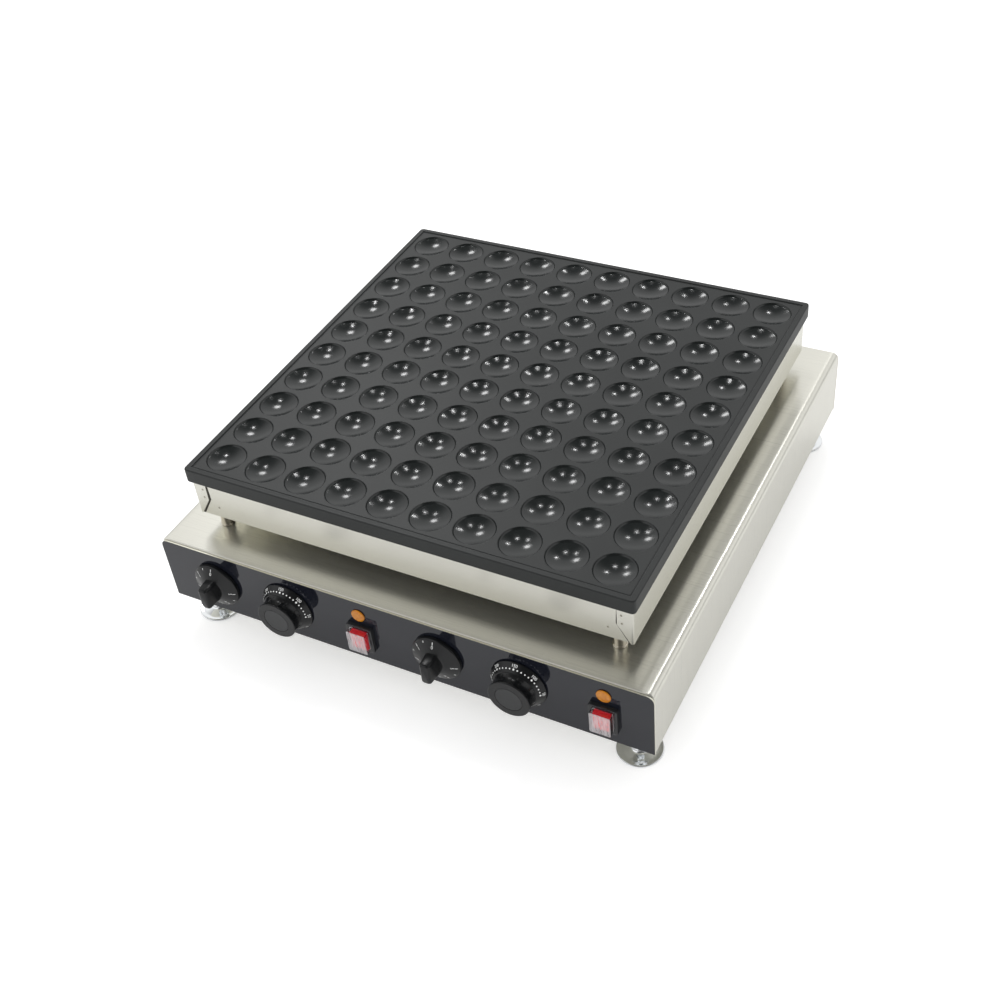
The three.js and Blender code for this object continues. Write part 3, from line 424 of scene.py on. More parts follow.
def brushed_steel(name, stretch, across_grain, colour=(0.76, 0.75, 0.68), dull=0.26):
    """Brushed sheet: noise stretched along the brushing gives its lines, slow noise its unevenness."""
    material, shader, add, link = start_material(name)
    place = add("ShaderNodeTexCoord").outputs["Object"]
    stretched = add("ShaderNodeMapping")
    stretched.inputs["Scale"].default_value = stretch
    link(place, stretched.inputs["Vector"])
    lines = add("ShaderNodeTexNoise", Scale=1.0, Detail=3.0, Roughness=0.65)
    link(stretched.outputs["Vector"], lines.inputs["Vector"])
    waves = add("ShaderNodeTexNoise", Scale=9.0, Detail=1.0)
    link(place, waves.inputs["Vector"])
    tone = two_tones(add, 0.25, [0.95 * c for c in colour], 0.75, [1.03 * c for c in colour])
    link(lines.outputs["Fac"], tone.inputs["Fac"])
    link(tone.outputs["Color"], shader.inputs["Base Color"])
    shader.inputs["Metallic"].default_value = 0.93
    shader.inputs["Anisotropic"].default_value = 0.6
    dullness = add("ShaderNodeMapRange", To_Min=dull - 0.02, To_Max=dull + 0.02)
    link(lines.outputs["Fac"], dullness.inputs["Value"])
    link(dullness.outputs["Result"], shader.inputs["Roughness"])
    tangent = add("ShaderNodeCombineXYZ", X=across_grain[0], Y=across_grain[1], Z=across_grain[2])
    link(tangent.outputs["Vector"], shader.inputs["Tangent"])
    sheet_bump = add("ShaderNodeBump", Strength=0.05, Distance=0.004)
    link(waves.outputs["Fac"], sheet_bump.inputs["Height"])
    line_bump = add("ShaderNodeBump", Strength=0.05, Distance=0.00002)
    link(lines.outputs["Fac"], line_bump.inputs["Height"])
    link(sheet_bump.outputs["Normal"], line_bump.inputs["Normal"])
    link(line_bump.outputs["Normal"], shader.inputs["Normal"])
    return material


level_steel = brushed_steel("steel_brushed_level", (6, 6, 5000), (0, 0, 1))


def dress(finish, *names):
    """Gives CAD nodes their finish."""
    for name in names:
        nodes[name].data.materials.clear()
        nodes[name].data.materials.append(finish)


housing_half = 246
housing_low = 139.5
housing_high = 183.7
housing_sheet = 1.2
housing_bend = 2.4
top_flange = 12
side_foot_flange = 30
end_foot_flange = 10
tab_width = 16
tab_straight = 22.7
tab_edge = housing_half - tab_width
bend_start = housing_half - housing_bend
tab_knee = housing_high - tab_straight


def sheet_grid(path, profile):
    """Sheet surface: each (inset, z) of the profile carried along a path of (x, y, inward x, inward y)."""
    path, profile = np.asarray(path, float), np.asarray(profile, float)
    points = np.empty((len(profile), len(path), 3))
    points[..., :2] = path[None, :, :2] + profile[:, None, :1] * path[None, :, 2:]
    points[..., 2] = profile[:, 1:]
    return points.reshape(-1, 3), grid_quads(len(profile), len(path), closed=False)


# Right wall: front tab, bend, straight side, bend, rear tab. The tabs' lower edge rises to the knee.
wall_path = softened(
    [
        [tab_edge, -housing_half],
        [housing_half, -housing_half],
        [housing_half, housing_half],
        [tab_edge, housing_half],
    ],
    housing_bend,
    6,
)
wall_x, wall_y = wall_path.T
on_tab = np.clip((bend_start - wall_x) / (bend_start - tab_edge), 0, 1)
wall_low = housing_low + on_tab * (tab_knee - housing_low)
wall_z = wall_low + np.linspace(0, 1, 5)[:, None] * (housing_high - wall_low)
wall_points = np.stack([wall_x + 0 * wall_z, wall_y + 0 * wall_z, wall_z], axis=-1)
wall_skin = (wall_points.reshape(-1, 3), grid_quads(*wall_z.shape, closed=False))
side_run = [[housing_half, y, -1, 0] for y in (-bend_start, bend_start)]
right_wall = together(
    wall_skin,
    sheet_grid(side_run, [[side_foot_flange, housing_low], [0, housing_low]]),
    sheet_grid(side_run, [[0, housing_high], [top_flange, housing_high]]),
)
wall_pieces = {"right": right_wall, "left": (right_wall[0] * (-1, -1, 1), right_wall[1])}

# Front wall: flat between the side walls, behind their tabs, with a narrower flange above and below
end_face = housing_half - housing_sheet - 0.3
end_half = 244.5
end_top_half = 233.7
end_foot_half = 215.7
end_columns = [-end_half, -end_top_half, -end_foot_half, end_foot_half, end_top_half, end_half]
end_run = np.array([[x, -end_face, 0, 1] for x in end_columns])
front_wall = together(
    sheet_grid(end_run, [[0, housing_low], [0, housing_high]]),
    sheet_grid(end_run[2:4], [[end_foot_flange, housing_low], [0, housing_low]]),
    sheet_grid(end_run[1:5], [[0, housing_high], [top_flange, housing_high]]),
)
wall_pieces["front"] = front_wall
wall_pieces["rear"] = (front_wall[0] * (-1, -1, 1), front_wall[1])
for wall, part in wall_pieces.items():
    make_piece(
        f"housing_{wall}_wall_sheet",
        moved(part, y=plate_middle_y),
        level_steel,
        "cooker",
        f"housing_{wall}_wall",
        crease=30,
        thickness=housing_sheet,
    )


# Spot welds
# Shallow round marks that the welding tongs leave in the steel, tinted by the heat: two on each tab of the
# side walls and one beside it on the end wall.


def plain_finish(name, colour, rough, metal=0.0, grain_size=600.0, bump=0.1, spread=0.12):
    """Moulded or plated finish: fine noise varies its roughness and skin, and a slow noise its tone."""
    material, shader, add, link = start_material(name)
    place = add("ShaderNodeTexCoord").outputs["Object"]
    fine = add("ShaderNodeTexNoise", Scale=grain_size, Detail=2.0)
    slow = add("ShaderNodeTexNoise", Scale=30.0, Detail=2.0)
    link(place, fine.inputs["Vector"])
    link(place, slow.inputs["Vector"])
    darker = [(1 - spread) * c for c in colour]
    lighter = [min(1, (1 + spread) * c) for c in colour]
    tone = two_tones(add, 0.3, darker, 0.7, lighter)
    link(slow.outputs["Fac"], tone.inputs["Fac"])
    link(tone.outputs["Color"], shader.inputs["Base Color"])
    shader.inputs["Metallic"].default_value = metal
    dullness = add("ShaderNodeMapRange", To_Min=rough * 0.85, To_Max=min(1, rough * 1.15))
    link(fine.outputs["Fac"], dullness.inputs["Value"])
    link(dullness.outputs["Result"], shader.inputs["Roughness"])
    skin = add("ShaderNodeBump", Strength=bump, Distance=0.00004)
    link(fine.outputs["Fac"], skin.inputs["Height"])
    link(skin.outputs["Normal"], shader.inputs["Normal"])
    return material


weld_tint = plain_finish("steel_weld_tint", (0.42, 0.4, 0.34), 0.4, metal=1)
weld_line = [[1.3, 0], [1.25, 0.1], [1.0, 0.16], [0.6, 0.08], [0, 0.05]]
weld_dot = turned(weld_line, 14)


def facing_front(part, x, y, z):
    """Part made along its own Z turned to the front: (x, y, z) goes to (x, -z, y), then to its place."""
    points = np.asarray(part[0])
    return np.stack([points[:, 0] + x, y - points[:, 2], points[:, 1] + z], axis=-1), part[1]


# Each spot has its inset from the wall's side, its drop from the top and the face that it lies on
weld_spots = [(11.5, 9.4, housing_half), (11.2, 19.8, housing_half), (26, 31.2, end_face)]
weld_marks = []
for side in (-1, 1):
    for inset, drop, face in weld_spots:
        weld_marks.append(facing_front(weld_dot, side * (housing_half - inset), -face, housing_high - drop))
front_welds = together(*weld_marks)
rear_welds = (front_welds[0] * (-1, -1, 1), front_welds[1])
welds = moved(together(front_welds, rear_welds), y=plate_middle_y)
make_piece("housing_spot_welds", welds, weld_tint, "cooker")


# Seam shade
# Painted shade: a thin dark strip on the end walls along the edge of each tab, down the tab and along
# its slant, stands for the shadow in the narrow gap between tab and wall.

# The strip's dark colour is painted shade of the gap beside each tab.
seam_painted_shade_finish = plain_finish("seam_painted_shade", (0.05, 0.045, 0.035), 0.7)
seam_thickness = 0.1
seam_edge = np.array(
    [[tab_edge, housing_high], [tab_edge, tab_knee], [bend_start - 0.5, housing_low + 0.2]]
)
seam_widths = [[0.8, 0], [1.8, 0], [2.4, 0]]
seam_ring = np.concatenate([seam_edge, (seam_edge - seam_widths)[::-1]])
seam_depths = [-end_face - seam_thickness, -end_face - 2 * seam_thickness]
seam_points = np.concatenate([np.insert(seam_ring, 1, y, axis=1) for y in seam_depths])
seam_ends = [[0, 1, 4, 5], [1, 2, 3, 4], [6, 7, 10, 11], [7, 8, 9, 10]]
seam = (seam_points, grid_quads(2, len(seam_ring)) + seam_ends)
seam_pair = together(seam, (seam[0] * (-1, 1, 1), seam[1]))
for end, turn in (("front", 1), ("rear", -1)):
    seams = moved((seam_pair[0] * (turn, turn, 1), seam_pair[1]), y=plate_middle_y)
    make_piece(f"housing_seam_shade_{end}", seams, seam_painted_shade_finish, "cooker")


# Base casing
# The base's top and sides are bent from one brushed stainless sheet, 1.5 mm thick, with flanges turned in
# below that the feet pass through, and narrow returns at the front and rear that carry the panels.

cross_steel = brushed_steel("steel_brushed_across", (6, 5000, 6), (0, 1, 0), dull=0.28)
base_sheet = 1.5
base_half = 280
base_low = 37.5
base_high = 119.5
casing_front = -275.0
casing_rear = 283.2
flange_edge = base_half - 52
return_width = 14
return_top = 9
casing_outline = softened(
    [
        [-flange_edge, base_low],
        [-base_half, base_low],
        [-base_half, base_high],
        [base_half, base_high],
        [base_half, base_low],
        [flange_edge, base_low],
    ],
    [2, 8, 8, 2],
    10,
)
outline_way = np.gradient(casing_outline, axis=0)
outline_way /= np.linalg.norm(outline_way, axis=1, keepdims=True)
inward = np.stack([outline_way[:, 1], -outline_way[:, 0]], axis=-1)
edge_bend = 1
quarter = np.linspace(0, np.pi / 2, 6)
edge_insets = np.append(edge_bend * (1 - np.sin(quarter)), 0)
edge_depths = np.append(edge_bend * (1 - np.cos(quarter)), 1.5 * edge_bend)
opening_x = np.clip(casing_outline[:, 0], return_width - base_half, base_half - return_width)
opening_z = np.clip(casing_outline[:, 1], base_low + return_width, base_high - return_top)
opening = np.stack([opening_x, opening_z], axis=-1)


def casing_row(flat, y):
    """One row of the casing: outline points (x, z) at the depth y."""
    return np.stack([flat[:, 0], np.full(len(flat), y), flat[:, 1]], axis=-1)


casing_rows = [casing_row(opening, casing_front)]
for inset, depth in zip(edge_insets, edge_depths):
    casing_rows.append(casing_row(casing_outline + inset * inward, casing_front + depth))
for inset, depth in zip(edge_insets[::-1], edge_depths[::-1]):
    casing_rows.append(casing_row(casing_outline + inset * inward, casing_rear - depth))
casing_rows.append(casing_row(opening, casing_rear))
casing_quads = grid_quads(len(casing_rows), len(casing_outline), closed=False)
casing_skin = (np.concatenate(casing_rows), [quad[::-1] for quad in casing_quads])

# Lower strips: the return below the front and rear openings, between the flanges
lower_strips = []
strip_profile = [(return_width, 0), *zip(edge_insets, edge_depths)]
for y, step in ((casing_front, 1), (casing_rear, -1)):
    strip_rows = [(y + step * depth, base_low + up) for up, depth in strip_profile]
    strip = [[x, row_y, row_z] for row_y, row_z in strip_rows for x in (-flange_edge, flange_edge)]
    quads = grid_quads(len(strip_profile), 2, closed=False)
    lower_strips.append((strip, quads if step < 0 else [quad[::-1] for quad in quads]))

# Holes for the stems of the feet
foot_x = 252.5
foot_y = 252.6
hole_radius = 5.6
hole_line = [[0, base_low - 3], [hole_radius, base_low - 3], [hole_radius, base_low + 5], [0, base_low + 5]]
stem_hole = turned(hole_line, 36)
foot_middles = [(x, y + plate_middle_y) for x in (-foot_x, foot_x) for y in (-foot_y, foot_y)]
make_piece(
    "base_casing_sheet",
    together(casing_skin, *lower_strips),
    cross_steel,
    "cooker",
    "base_casing",
    crease=30,
    thickness=base_sheet,
    drill=together(*(moved(stem_hole, x, y) for x, y in foot_middles)),
)
dress(cross_steel, "housing_floor", "bottom_plate", "rear_panel")


# Control panel
# A 2 mm stainless plate across the whole front, faced with a glossy near-black film that mirrors the pale
# floor. Its cut edges are bare steel.

panel_face = -277.3
panel_film, shader, add, link = start_material("panel_gloss_film")
place = add("ShaderNodeTexCoord").outputs["Object"]
ripple = add("ShaderNodeTexNoise", Scale=220.0, Detail=2.0)
depth = add("ShaderNodeSeparateXYZ")
link(place, ripple.inputs["Vector"])
link(place, depth.inputs["Vector"])
edge = add("ShaderNodeMapRange", From_Min=(panel_face + 0.05) / 1000, From_Max=(panel_face + 0.15) / 1000)
link(depth.outputs["Y"], edge.inputs["Value"])
colour_a, colour_b, colour_out = 6, 7, 2  # the sockets that a Mix node shows when it mixes colours
tone = add("ShaderNodeMix", {"data_type": "RGBA"})
tone.inputs[colour_a].default_value = (0.009, 0.0102, 0.0158, 1)
tone.inputs[colour_b].default_value = (0.77, 0.755, 0.65, 1)
link(edge.outputs["Result"], tone.inputs["Factor"])
link(tone.outputs[colour_out], shader.inputs["Base Color"])
link(edge.outputs["Result"], shader.inputs["Metallic"])
dullness = add("ShaderNodeMath", {"operation": "MULTIPLY_ADD"})
dullness.inputs[1].default_value = 0.15
dullness.inputs[2].default_value = 0.07
link(edge.outputs["Result"], dullness.inputs[0])
link(dullness.outputs[0], shader.inputs["Roughness"])
skin = add("ShaderNodeBump", Strength=0.03, Distance=0.00004)
link(ripple.outputs["Fac"], skin.inputs["Height"])
link(skin.outputs["Normal"], shader.inputs["Normal"])
dress(panel_film, "control_panel")

# Places of the controls: two sets of timer, thermostat and lamp over switch, a step apart
sets_middle = 7.6
sets_half = 133.3
control_sets = {"left": sets_middle - sets_half, "right": sets_middle + sets_half}
control_step = 89.1
knob_height = 77.8
switch_height = 70.8
lamp_height = 99.8


def on_panel(part, x, z):
    """Part made along its own Z, set on the panel's face with its Z to the front."""
    return facing_front(part, x, panel_face, z)


def lofted(levels, steps=5):
    """Solid through rounded rectangles, one for each (half x, half y, corner radius, z), with flat ends."""
    turn = np.linspace(0, np.pi / 2, steps + 1)
    loops = []
    for half_x, half_y, corner, z in levels:
        arc_x, arc_y = corner * np.cos(turn), corner * np.sin(turn)
        in_x, in_y = half_x - corner, half_y - corner
        x = np.concatenate([in_x + arc_x, -in_x - arc_y, -in_x - arc_x, in_x + arc_y])
        y = np.concatenate([in_y + arc_y, in_y + arc_x, -in_y - arc_y, -in_y - arc_x])
        loops.append(np.stack([x, y, np.full(len(x), z)], axis=-1))
    count = len(loops[0])
    last = (len(loops) - 1) * count
    ends = [list(range(count))[::-1], list(range(last, last + count))]
    return np.concatenate(loops), grid_quads(len(loops), count) + ends


# Timer knobs
# One black phenolic moulding each: a conical dial skirt with a tapered grip bar across it. The ticks and
# numbers are printed in white on the cone. It is pressed on the timer's shaft.

knob_plastic = plain_finish("knob_phenolic", (0.006, 0.0065, 0.007), 0.24, grain_size=900.0, bump=0.1)
knob_plastic.node_tree.nodes["Principled BSDF"].inputs["IOR"].default_value = 1.42
print_white = plain_finish("dial_print_white", (0.88, 0.89, 0.88), 0.5, spread=0.04)
skirt_lift = 0.8
timer_radius = 27.2
timer_cone = np.array([[26.4, 4.8], [12.6, 11.2]])
timer_line = softened(
    [[0, skirt_lift], [timer_radius, skirt_lift], [timer_radius, 4.0], *timer_cone, [0, timer_cone[1, 1]]],
    [0.3, 0.4, 0.5, 1.5],
    5,
)

# Grip: half width, half length, corner radius and reach go from foot to top by shares, less a rounding
grip_foot = np.array([7.75, 13.65, 4, 1.6])
grip_top = np.array([5.5, 13.17, 2.84, 27.4])
grip_shares = np.array([0, 0.5, 0.9, 0.93, 0.96, 0.985, 1])[:, None]
grip_rounds = np.array([0, 0, 0.05, 0.25, 0.7, 1.3, 2.1])[:, None]
grip = lofted(grip_foot + grip_shares * (grip_top - grip_foot) - grip_rounds * (1, 1, 0.6, 0), 6)
timer_moulding = together(turned(timer_line, 96), grip)
size_per_height = 1.4


def lettering(text, height):
    """Thin closed letters in millimetres, centred on the origin, from a text curve turned into a mesh."""
    curve = bpy.data.curves.new("lettering", "FONT")
    curve.body = text
    curve.size = height * size_per_height
    curve.align_x = "CENTER"
    curve.align_y = "CENTER"
    curve.extrude = 0.03
    curve.resolution_u = 3
    holder = bpy.data.objects.new("lettering", curve)
    bpy.context.scene.collection.objects.link(holder)
    mesh = finished_mesh(holder)
    points = np.empty(len(mesh.vertices) * 3)
    mesh.vertices.foreach_get("co", points)
    faces = [list(face.vertices) for face in mesh.polygons]
    bpy.data.objects.remove(holder)
    bpy.data.curves.remove(curve)
    bpy.data.meshes.remove(mesh)
    return points.reshape(-1, 3), faces


def on_cone(part, cone, clockwise, up_slant):
    """Wraps a flat part round a dial's cone: x runs round, y up the slant from up_slant, z stands off."""
    points = np.asarray(part[0])
    slant = (cone[1] - cone[0]) / np.linalg.norm(cone[1] - cone[0])
    along = up_slant - points[:, 1]
    off = points[:, 2] + 0.01
    r = cone[0, 0] + slant[0] * along + slant[1] * off
    z = cone[0, 1] + slant[1] * along - slant[0] * off
    a = math.radians(90 - clockwise) - points[:, 0] / (cone[0, 0] + slant[0] * up_slant)
    return np.stack([r * np.cos(a), r * np.sin(a), z], axis=-1), part[1]


# Ticks and numbers: long ticks with a number take turns with short ones, counter-clockwise
tick_step = 26.4
long_tick = (1.6, 3.25)
short_tick = (1.05, 2.25)
timer_print = []
for tick in range(11):
    half_length, up_slant = short_tick if tick % 2 else long_tick
    mark = lofted([(0.33, half_length, 0.05, -0.01), (0.33, half_length, 0.05, 0.05)], 1)
    timer_print.append(on_cone(mark, timer_cone, -tick_step * tick, up_slant))
    if tick % 2 == 0:
        timer_print.append(on_cone(lettering(str(tick // 2), 3.5), timer_cone, -tick_step * tick, 7.4))
timer_print = together(*timer_print)
for side, middle in control_sets.items():
    x = middle - control_step
    body = f"timer_dial_{side}"
    moulding = on_panel(timer_moulding, x, knob_height)
    make_piece(f"timer_knob_{side}_moulding", moulding, knob_plastic, body, f"timer_knob_{side}")
    make_piece(f"timer_print_{side}", on_panel(timer_print, x, knob_height), print_white, body)


# Thermostat knobs
# A black moulding with a conical dial, a waisted hub with eight flutes and a mushroom head, in which a
# plain black disc is pressed. Dots and temperatures are printed in white round the cone.

hub_radius = 22.6
head_radius = 22.3
head_reach = 22.8
cap_seat = [14.5, 21.6]
dial_cone = np.array([[30.1, 1.9], [23.4, 9.5]])
hub_line = softened(
    [
        [0, skirt_lift],
        [dial_cone[0, 0], skirt_lift],
        *dial_cone,
        [hub_radius, dial_cone[1, 1]],
        [21.0, 14.75],
        [21.5, 20.0],
        [head_radius, 20.8],
        [head_radius, head_reach],
        [cap_seat[0], head_reach],
        cap_seat,
        [0, cap_seat[1]],
    ],
    [0.3, 0.4, 0.3, 0.4, 4, 0.3, 0.4, 0.9, 0.25, 0.2],
    5,
)
thermostat_points, thermostat_faces = turned(hub_line, 168)
radius = np.hypot(thermostat_points[:, 0], thermostat_points[:, 1])
around = np.arctan2(thermostat_points[:, 1], thermostat_points[:, 0])
reach = thermostat_points[:, 2]

# Flutes: a groove of radius g about an axis on the hub's foot circle R leaves the radius
# R cos a - sqrt(g² - (R sin a)²). It fades out just above the dial and under the head.
flute_radius = 3
flute_step = 45
from_flute = (around % math.radians(flute_step)) - math.radians(flute_step / 2)
sideways = hub_radius * np.sin(from_flute)
fluted = hub_radius * np.cos(from_flute) - np.sqrt(np.maximum(flute_radius**2 - sideways**2, 0))
fluted = np.where(np.abs(sideways) < flute_radius, fluted, radius)
on_hub = np.clip((reach - 10) / 0.8, 0, 1) * np.clip((19.9 - reach) / 0.6, 0, 1)
on_hub = on_hub * (radius > 20) * (radius < hub_radius)
thermostat_points[:, :2] *= (1 - on_hub * np.maximum(1 - fluted / np.maximum(radius, 1), 0))[:, None]
thermostat_moulding = (thermostat_points, thermostat_faces)
cap_radius = 14.2
cap_line = softened(
    [[0, 21.9], [cap_radius, 21.9], [cap_radius, 22.75], [13.6, head_reach], [9, 22.7], [0, 22.65]],
    [0.1, 0.3, 0.4, 2],
    4,
)
cap_disc = turned(cap_line, 72)
cap_plastic = plain_finish("cap_plastic_black", (0.012, 0.013, 0.014), 0.3)

# Print: a dot each nine degrees, a larger one each 45, and the temperatures below them
first_dot = 89
dot_step = 9
numbers = {"50": 89, "100": 44, "150": -1, "200": -46, "250": -91, "300": -136, "0": 130}
dial_print = []
for step in range(26):
    size = 1.0 if step % 5 == 0 else 0.75
    dot = turned([[size, -0.02], [size, 0.05], [0, 0.05]], 10)
    dial_print.append(on_cone(dot, dial_cone, first_dot - dot_step * step, 6.3))
for text, clockwise in numbers.items():
    dial_print.append(on_cone(lettering(text, 3.1), dial_cone, clockwise, 2.9))
dial_print = together(*dial_print)
for side, x in control_sets.items():
    body = f"thermostat_dial_{side}"
    knob = f"thermostat_knob_{side}"
    moulding = on_panel(thermostat_moulding, x, knob_height)
    cap = on_panel(cap_disc, x, knob_height)
    make_piece(f"{knob}_moulding", moulding, knob_plastic, body, knob, crease=45)
    make_piece(f"thermostat_cap_{side}_disc", cap, cap_plastic, body, f"thermostat_knob_cap_{side}")
    make_piece(f"thermostat_print_{side}", on_panel(dial_print, x, knob_height), print_white, body)


# Indicator lamps
# An amber polycarbonate lens with a flat crown, moulded with its stem and pressed into the lamp body
# through the panel.

amber, shader, add, link = start_material("lens_amber")
place = add("ShaderNodeTexCoord").outputs["Object"]
swirl = add("ShaderNodeTexNoise", Scale=420.0, Detail=2.0)
link(place, swirl.inputs["Vector"])
tone = two_tones(add, 0.3, (0.66, 0.21, 0.005), 0.7, (0.85, 0.33, 0.01))
link(swirl.outputs["Fac"], tone.inputs["Fac"])
link(tone.outputs["Color"], shader.inputs["Base Color"])
shader.inputs["Roughness"].default_value = 0.12
shader.inputs["Transmission Weight"].default_value = 0.3
shader.inputs["IOR"].default_value = 1.58
lens_line = softened(
    [[0, -6.3], [4.6, -6.3], [4.6, 0.3], [7.6, 0.3], [7.6, 1.3], [6.4, 2.2], [0, 2.5]],
    [0.2, 0.2, 0.1, 0.4, 1.2],
    5,
)
lens = turned(lens_line, 48)
for side, middle in control_sets.items():
    dome = on_panel(lens, middle + control_step, lamp_height)
    make_piece(f"lamp_lens_{side}_dome", dome, amber, "cooker", f"lamp_lens_{side}")


# Rocker switches
# A black nylon housing snapped in the panel with its bezel outside, a red rocker on two pins in it, and a
# clear splash cover fitted over the rocker.

bezel_levels = [
    (12, 14.5, 0.6, -30.3),
    (12, 14.5, 0.6, 0.3),
    (15.05, 16.8, 3, 0.3),
    (15.05, 16.8, 3, 4.3),
    (14.85, 16.6, 2.9, 4.8),
    (14.4, 16.15, 2.6, 5.0),
    (9.5, 13.0, 0.8, 5.0),
    (9.15, 12.65, 0.5, 4.8),
    (9.1, 12.6, 0.4, 4.4),
    (9.1, 12.6, 0.4, -8.0),
]
switch_body = lofted(bezel_levels)

# Rocker: its profile (y, z) has a top that dips as rise * (0.86 + 0.14 (y / half)²) and a keel below. It is
# narrowed a little at both ends and turned about its pins to its tip at rest.
rocker_half = 11
rocker_rise = 10.24
rocker_y = np.linspace(-rocker_half, rocker_half, 15)
rocker_top = np.stack([rocker_y, rocker_rise * (0.86 + 0.14 * (rocker_y / rocker_half) ** 2)], axis=-1)
keel_right = [[0, -5], [4, -5], [rocker_half, 3.07]]
keel_left = [[-rocker_half, 3.07], [-4, -5], [0, -5]]
rocker_profile = softened(
    np.concatenate([keel_right, rocker_top[::-1], keel_left]),
    [0.4, 0.6, 0.7] + [0.5] * 13 + [0.7, 0.6, 0.4],
    2,
)[:-1]
profile_middle = rocker_profile.mean(axis=0)
rocker_sections = np.array([[-8.8, 0.94], [-8.65, 0.98], [-8.2, 1], [8.2, 1], [8.65, 0.98], [8.8, 0.94]])
sections, count = len(rocker_sections), len(rocker_profile)
shrunk = (rocker_profile - profile_middle) * rocker_sections[:, 1, None, None]
rocker_points = np.empty((sections, count, 3))
rocker_points[..., 0] = rocker_sections[:, :1]
rocker_points[..., 1:] = profile_middle + shrunk
rocker_ends = [list(range(count)), list(range((sections - 1) * count, sections * count))[::-1]]
pin_radius = 1.4
pin_half = 10.3
pin_line = [[0, -pin_half], [pin_radius, -pin_half], [pin_radius, pin_half], [0, pin_half]]
pin_points, pin_faces = turned(pin_line, 20)
pin = (pin_points[:, [2, 0, 1]], pin_faces)
rocker = together((rocker_points.reshape(-1, 3), grid_quads(sections, count) + rocker_ends), pin)
pivot_depth = 1.5
tip = math.radians(7)
lean = np.array([[1, 0, 0], [0, math.cos(tip), -math.sin(tip)], [0, math.sin(tip), math.cos(tip)]])
rocker = (rocker[0] @ lean.T + (0, 0, -pivot_depth), rocker[1])
cover_reach = 12.5
cover_levels = [
    (10.0, 12.3, 0.6, 11.7),
    (10.2, 12.5, 0.8, 11.5),
    (10.2, 12.5, 0.8, 5.3),
    (11.0, 13.3, 1.6, 5.3),
    (11.0, 13.3, 1.6, 11.3),
    (10.85, 13.15, 1.5, 12.0),
    (10.3, 12.6, 1.2, 12.45),
    (9.9, 12.2, 1.0, cover_reach),
]
cover = lofted(cover_levels)
switch_black = plain_finish("switch_black_gloss", (0.013, 0.0135, 0.015), 0.12, grain_size=900.0, bump=0.05)
rocker_red = plain_finish("rocker_red", (0.9, 0.022, 0.04), 0.2, spread=0.06)
# Painted glow: the rocker's emission stands in for studio light passing through the red plastic.
rocker_painted_glow = rocker_red.node_tree.nodes["Principled BSDF"].inputs
rocker_painted_glow["Emission Color"].default_value = (0.9, 0.02, 0.035, 1)
rocker_painted_glow["Emission Strength"].default_value = 0.25
cover_clear, shader, add, link = start_material("cover_clear")
place = add("ShaderNodeTexCoord").outputs["Object"]
streaked = add("ShaderNodeMapping")
streaked.inputs["Scale"].default_value = (900, 40, 90)
link(place, streaked.inputs["Vector"])
# The outer front face turns milky in vertical streaks. This is partly a frosted face and partly a painted
# reflection of the pale floor.
haze_and_sheen_streaks = add("ShaderNodeTexNoise", Scale=1.0, Detail=2.0)
link(streaked.outputs["Vector"], haze_and_sheen_streaks.inputs["Vector"])
depth = add("ShaderNodeSeparateXYZ")
link(place, depth.inputs["Vector"])
cover_face = panel_face - cover_reach
outer = add("ShaderNodeMapRange", From_Min=(cover_face + 1) / 1000, From_Max=(cover_face + 0.5) / 1000)
link(depth.outputs["Y"], outer.inputs["Value"])
milk_and_painted_sheen = add("ShaderNodeMath", {"operation": "MULTIPLY"})
link(outer.outputs["Result"], milk_and_painted_sheen.inputs[0])
link(haze_and_sheen_streaks.outputs["Fac"], milk_and_painted_sheen.inputs[1])
clear = add("ShaderNodeMapRange", To_Min=1.0, To_Max=0.35)
link(milk_and_painted_sheen.outputs[0], clear.inputs["Value"])
link(clear.outputs["Result"], shader.inputs["Transmission Weight"])
shader.inputs["Base Color"].default_value = (0.93, 0.92, 0.94, 1)
shader.inputs["Roughness"].default_value = 0.06
shader.inputs["IOR"].default_value = 1.46
for side, middle in control_sets.items():
    x = middle + control_step
    switch_pieces = [
        (f"switch_housing_{side}", "bezel", switch_body, switch_black, "cooker"),
        (f"switch_rocker_{side}", "cap", rocker, rocker_red, f"rocker_{side}"),
        (f"switch_cover_{side}", "clear", cover, cover_clear, "cooker"),
    ]
    for node, piece, part, finish, body in switch_pieces:
        make_piece(f"{node}_{piece}", on_panel(part, x, switch_height), finish, body, node)


# Levelling feet
# Chromed steel: a dished disc with a conical hub and an M10 threaded stem, held by a hexagon lock nut below
# the base and screwed into a nut welded on the casing's flange.

chrome = plain_finish("chrome_plate", (0.86, 0.88, 0.89), 0.05, metal=1, bump=0.02, spread=0.03)
stem_core = 4.6
stem_top = 56
foot_line = softened(
    [
        [0, 0],
        [22.6, 0],
        [23.6, 1],
        [23.6, 2.6],
        [22.6, 3.1],
        [18.9, 2.4],
        [9, 4.5],
        [6.5, 9.5],
        [stem_core, 9.5],
        [stem_core, stem_top],
        [0, stem_top],
    ],
    [0.3, 0.4, 0.5, 0.6, 2, 2, 0.6, 0.2, 0.5],
    5,
)

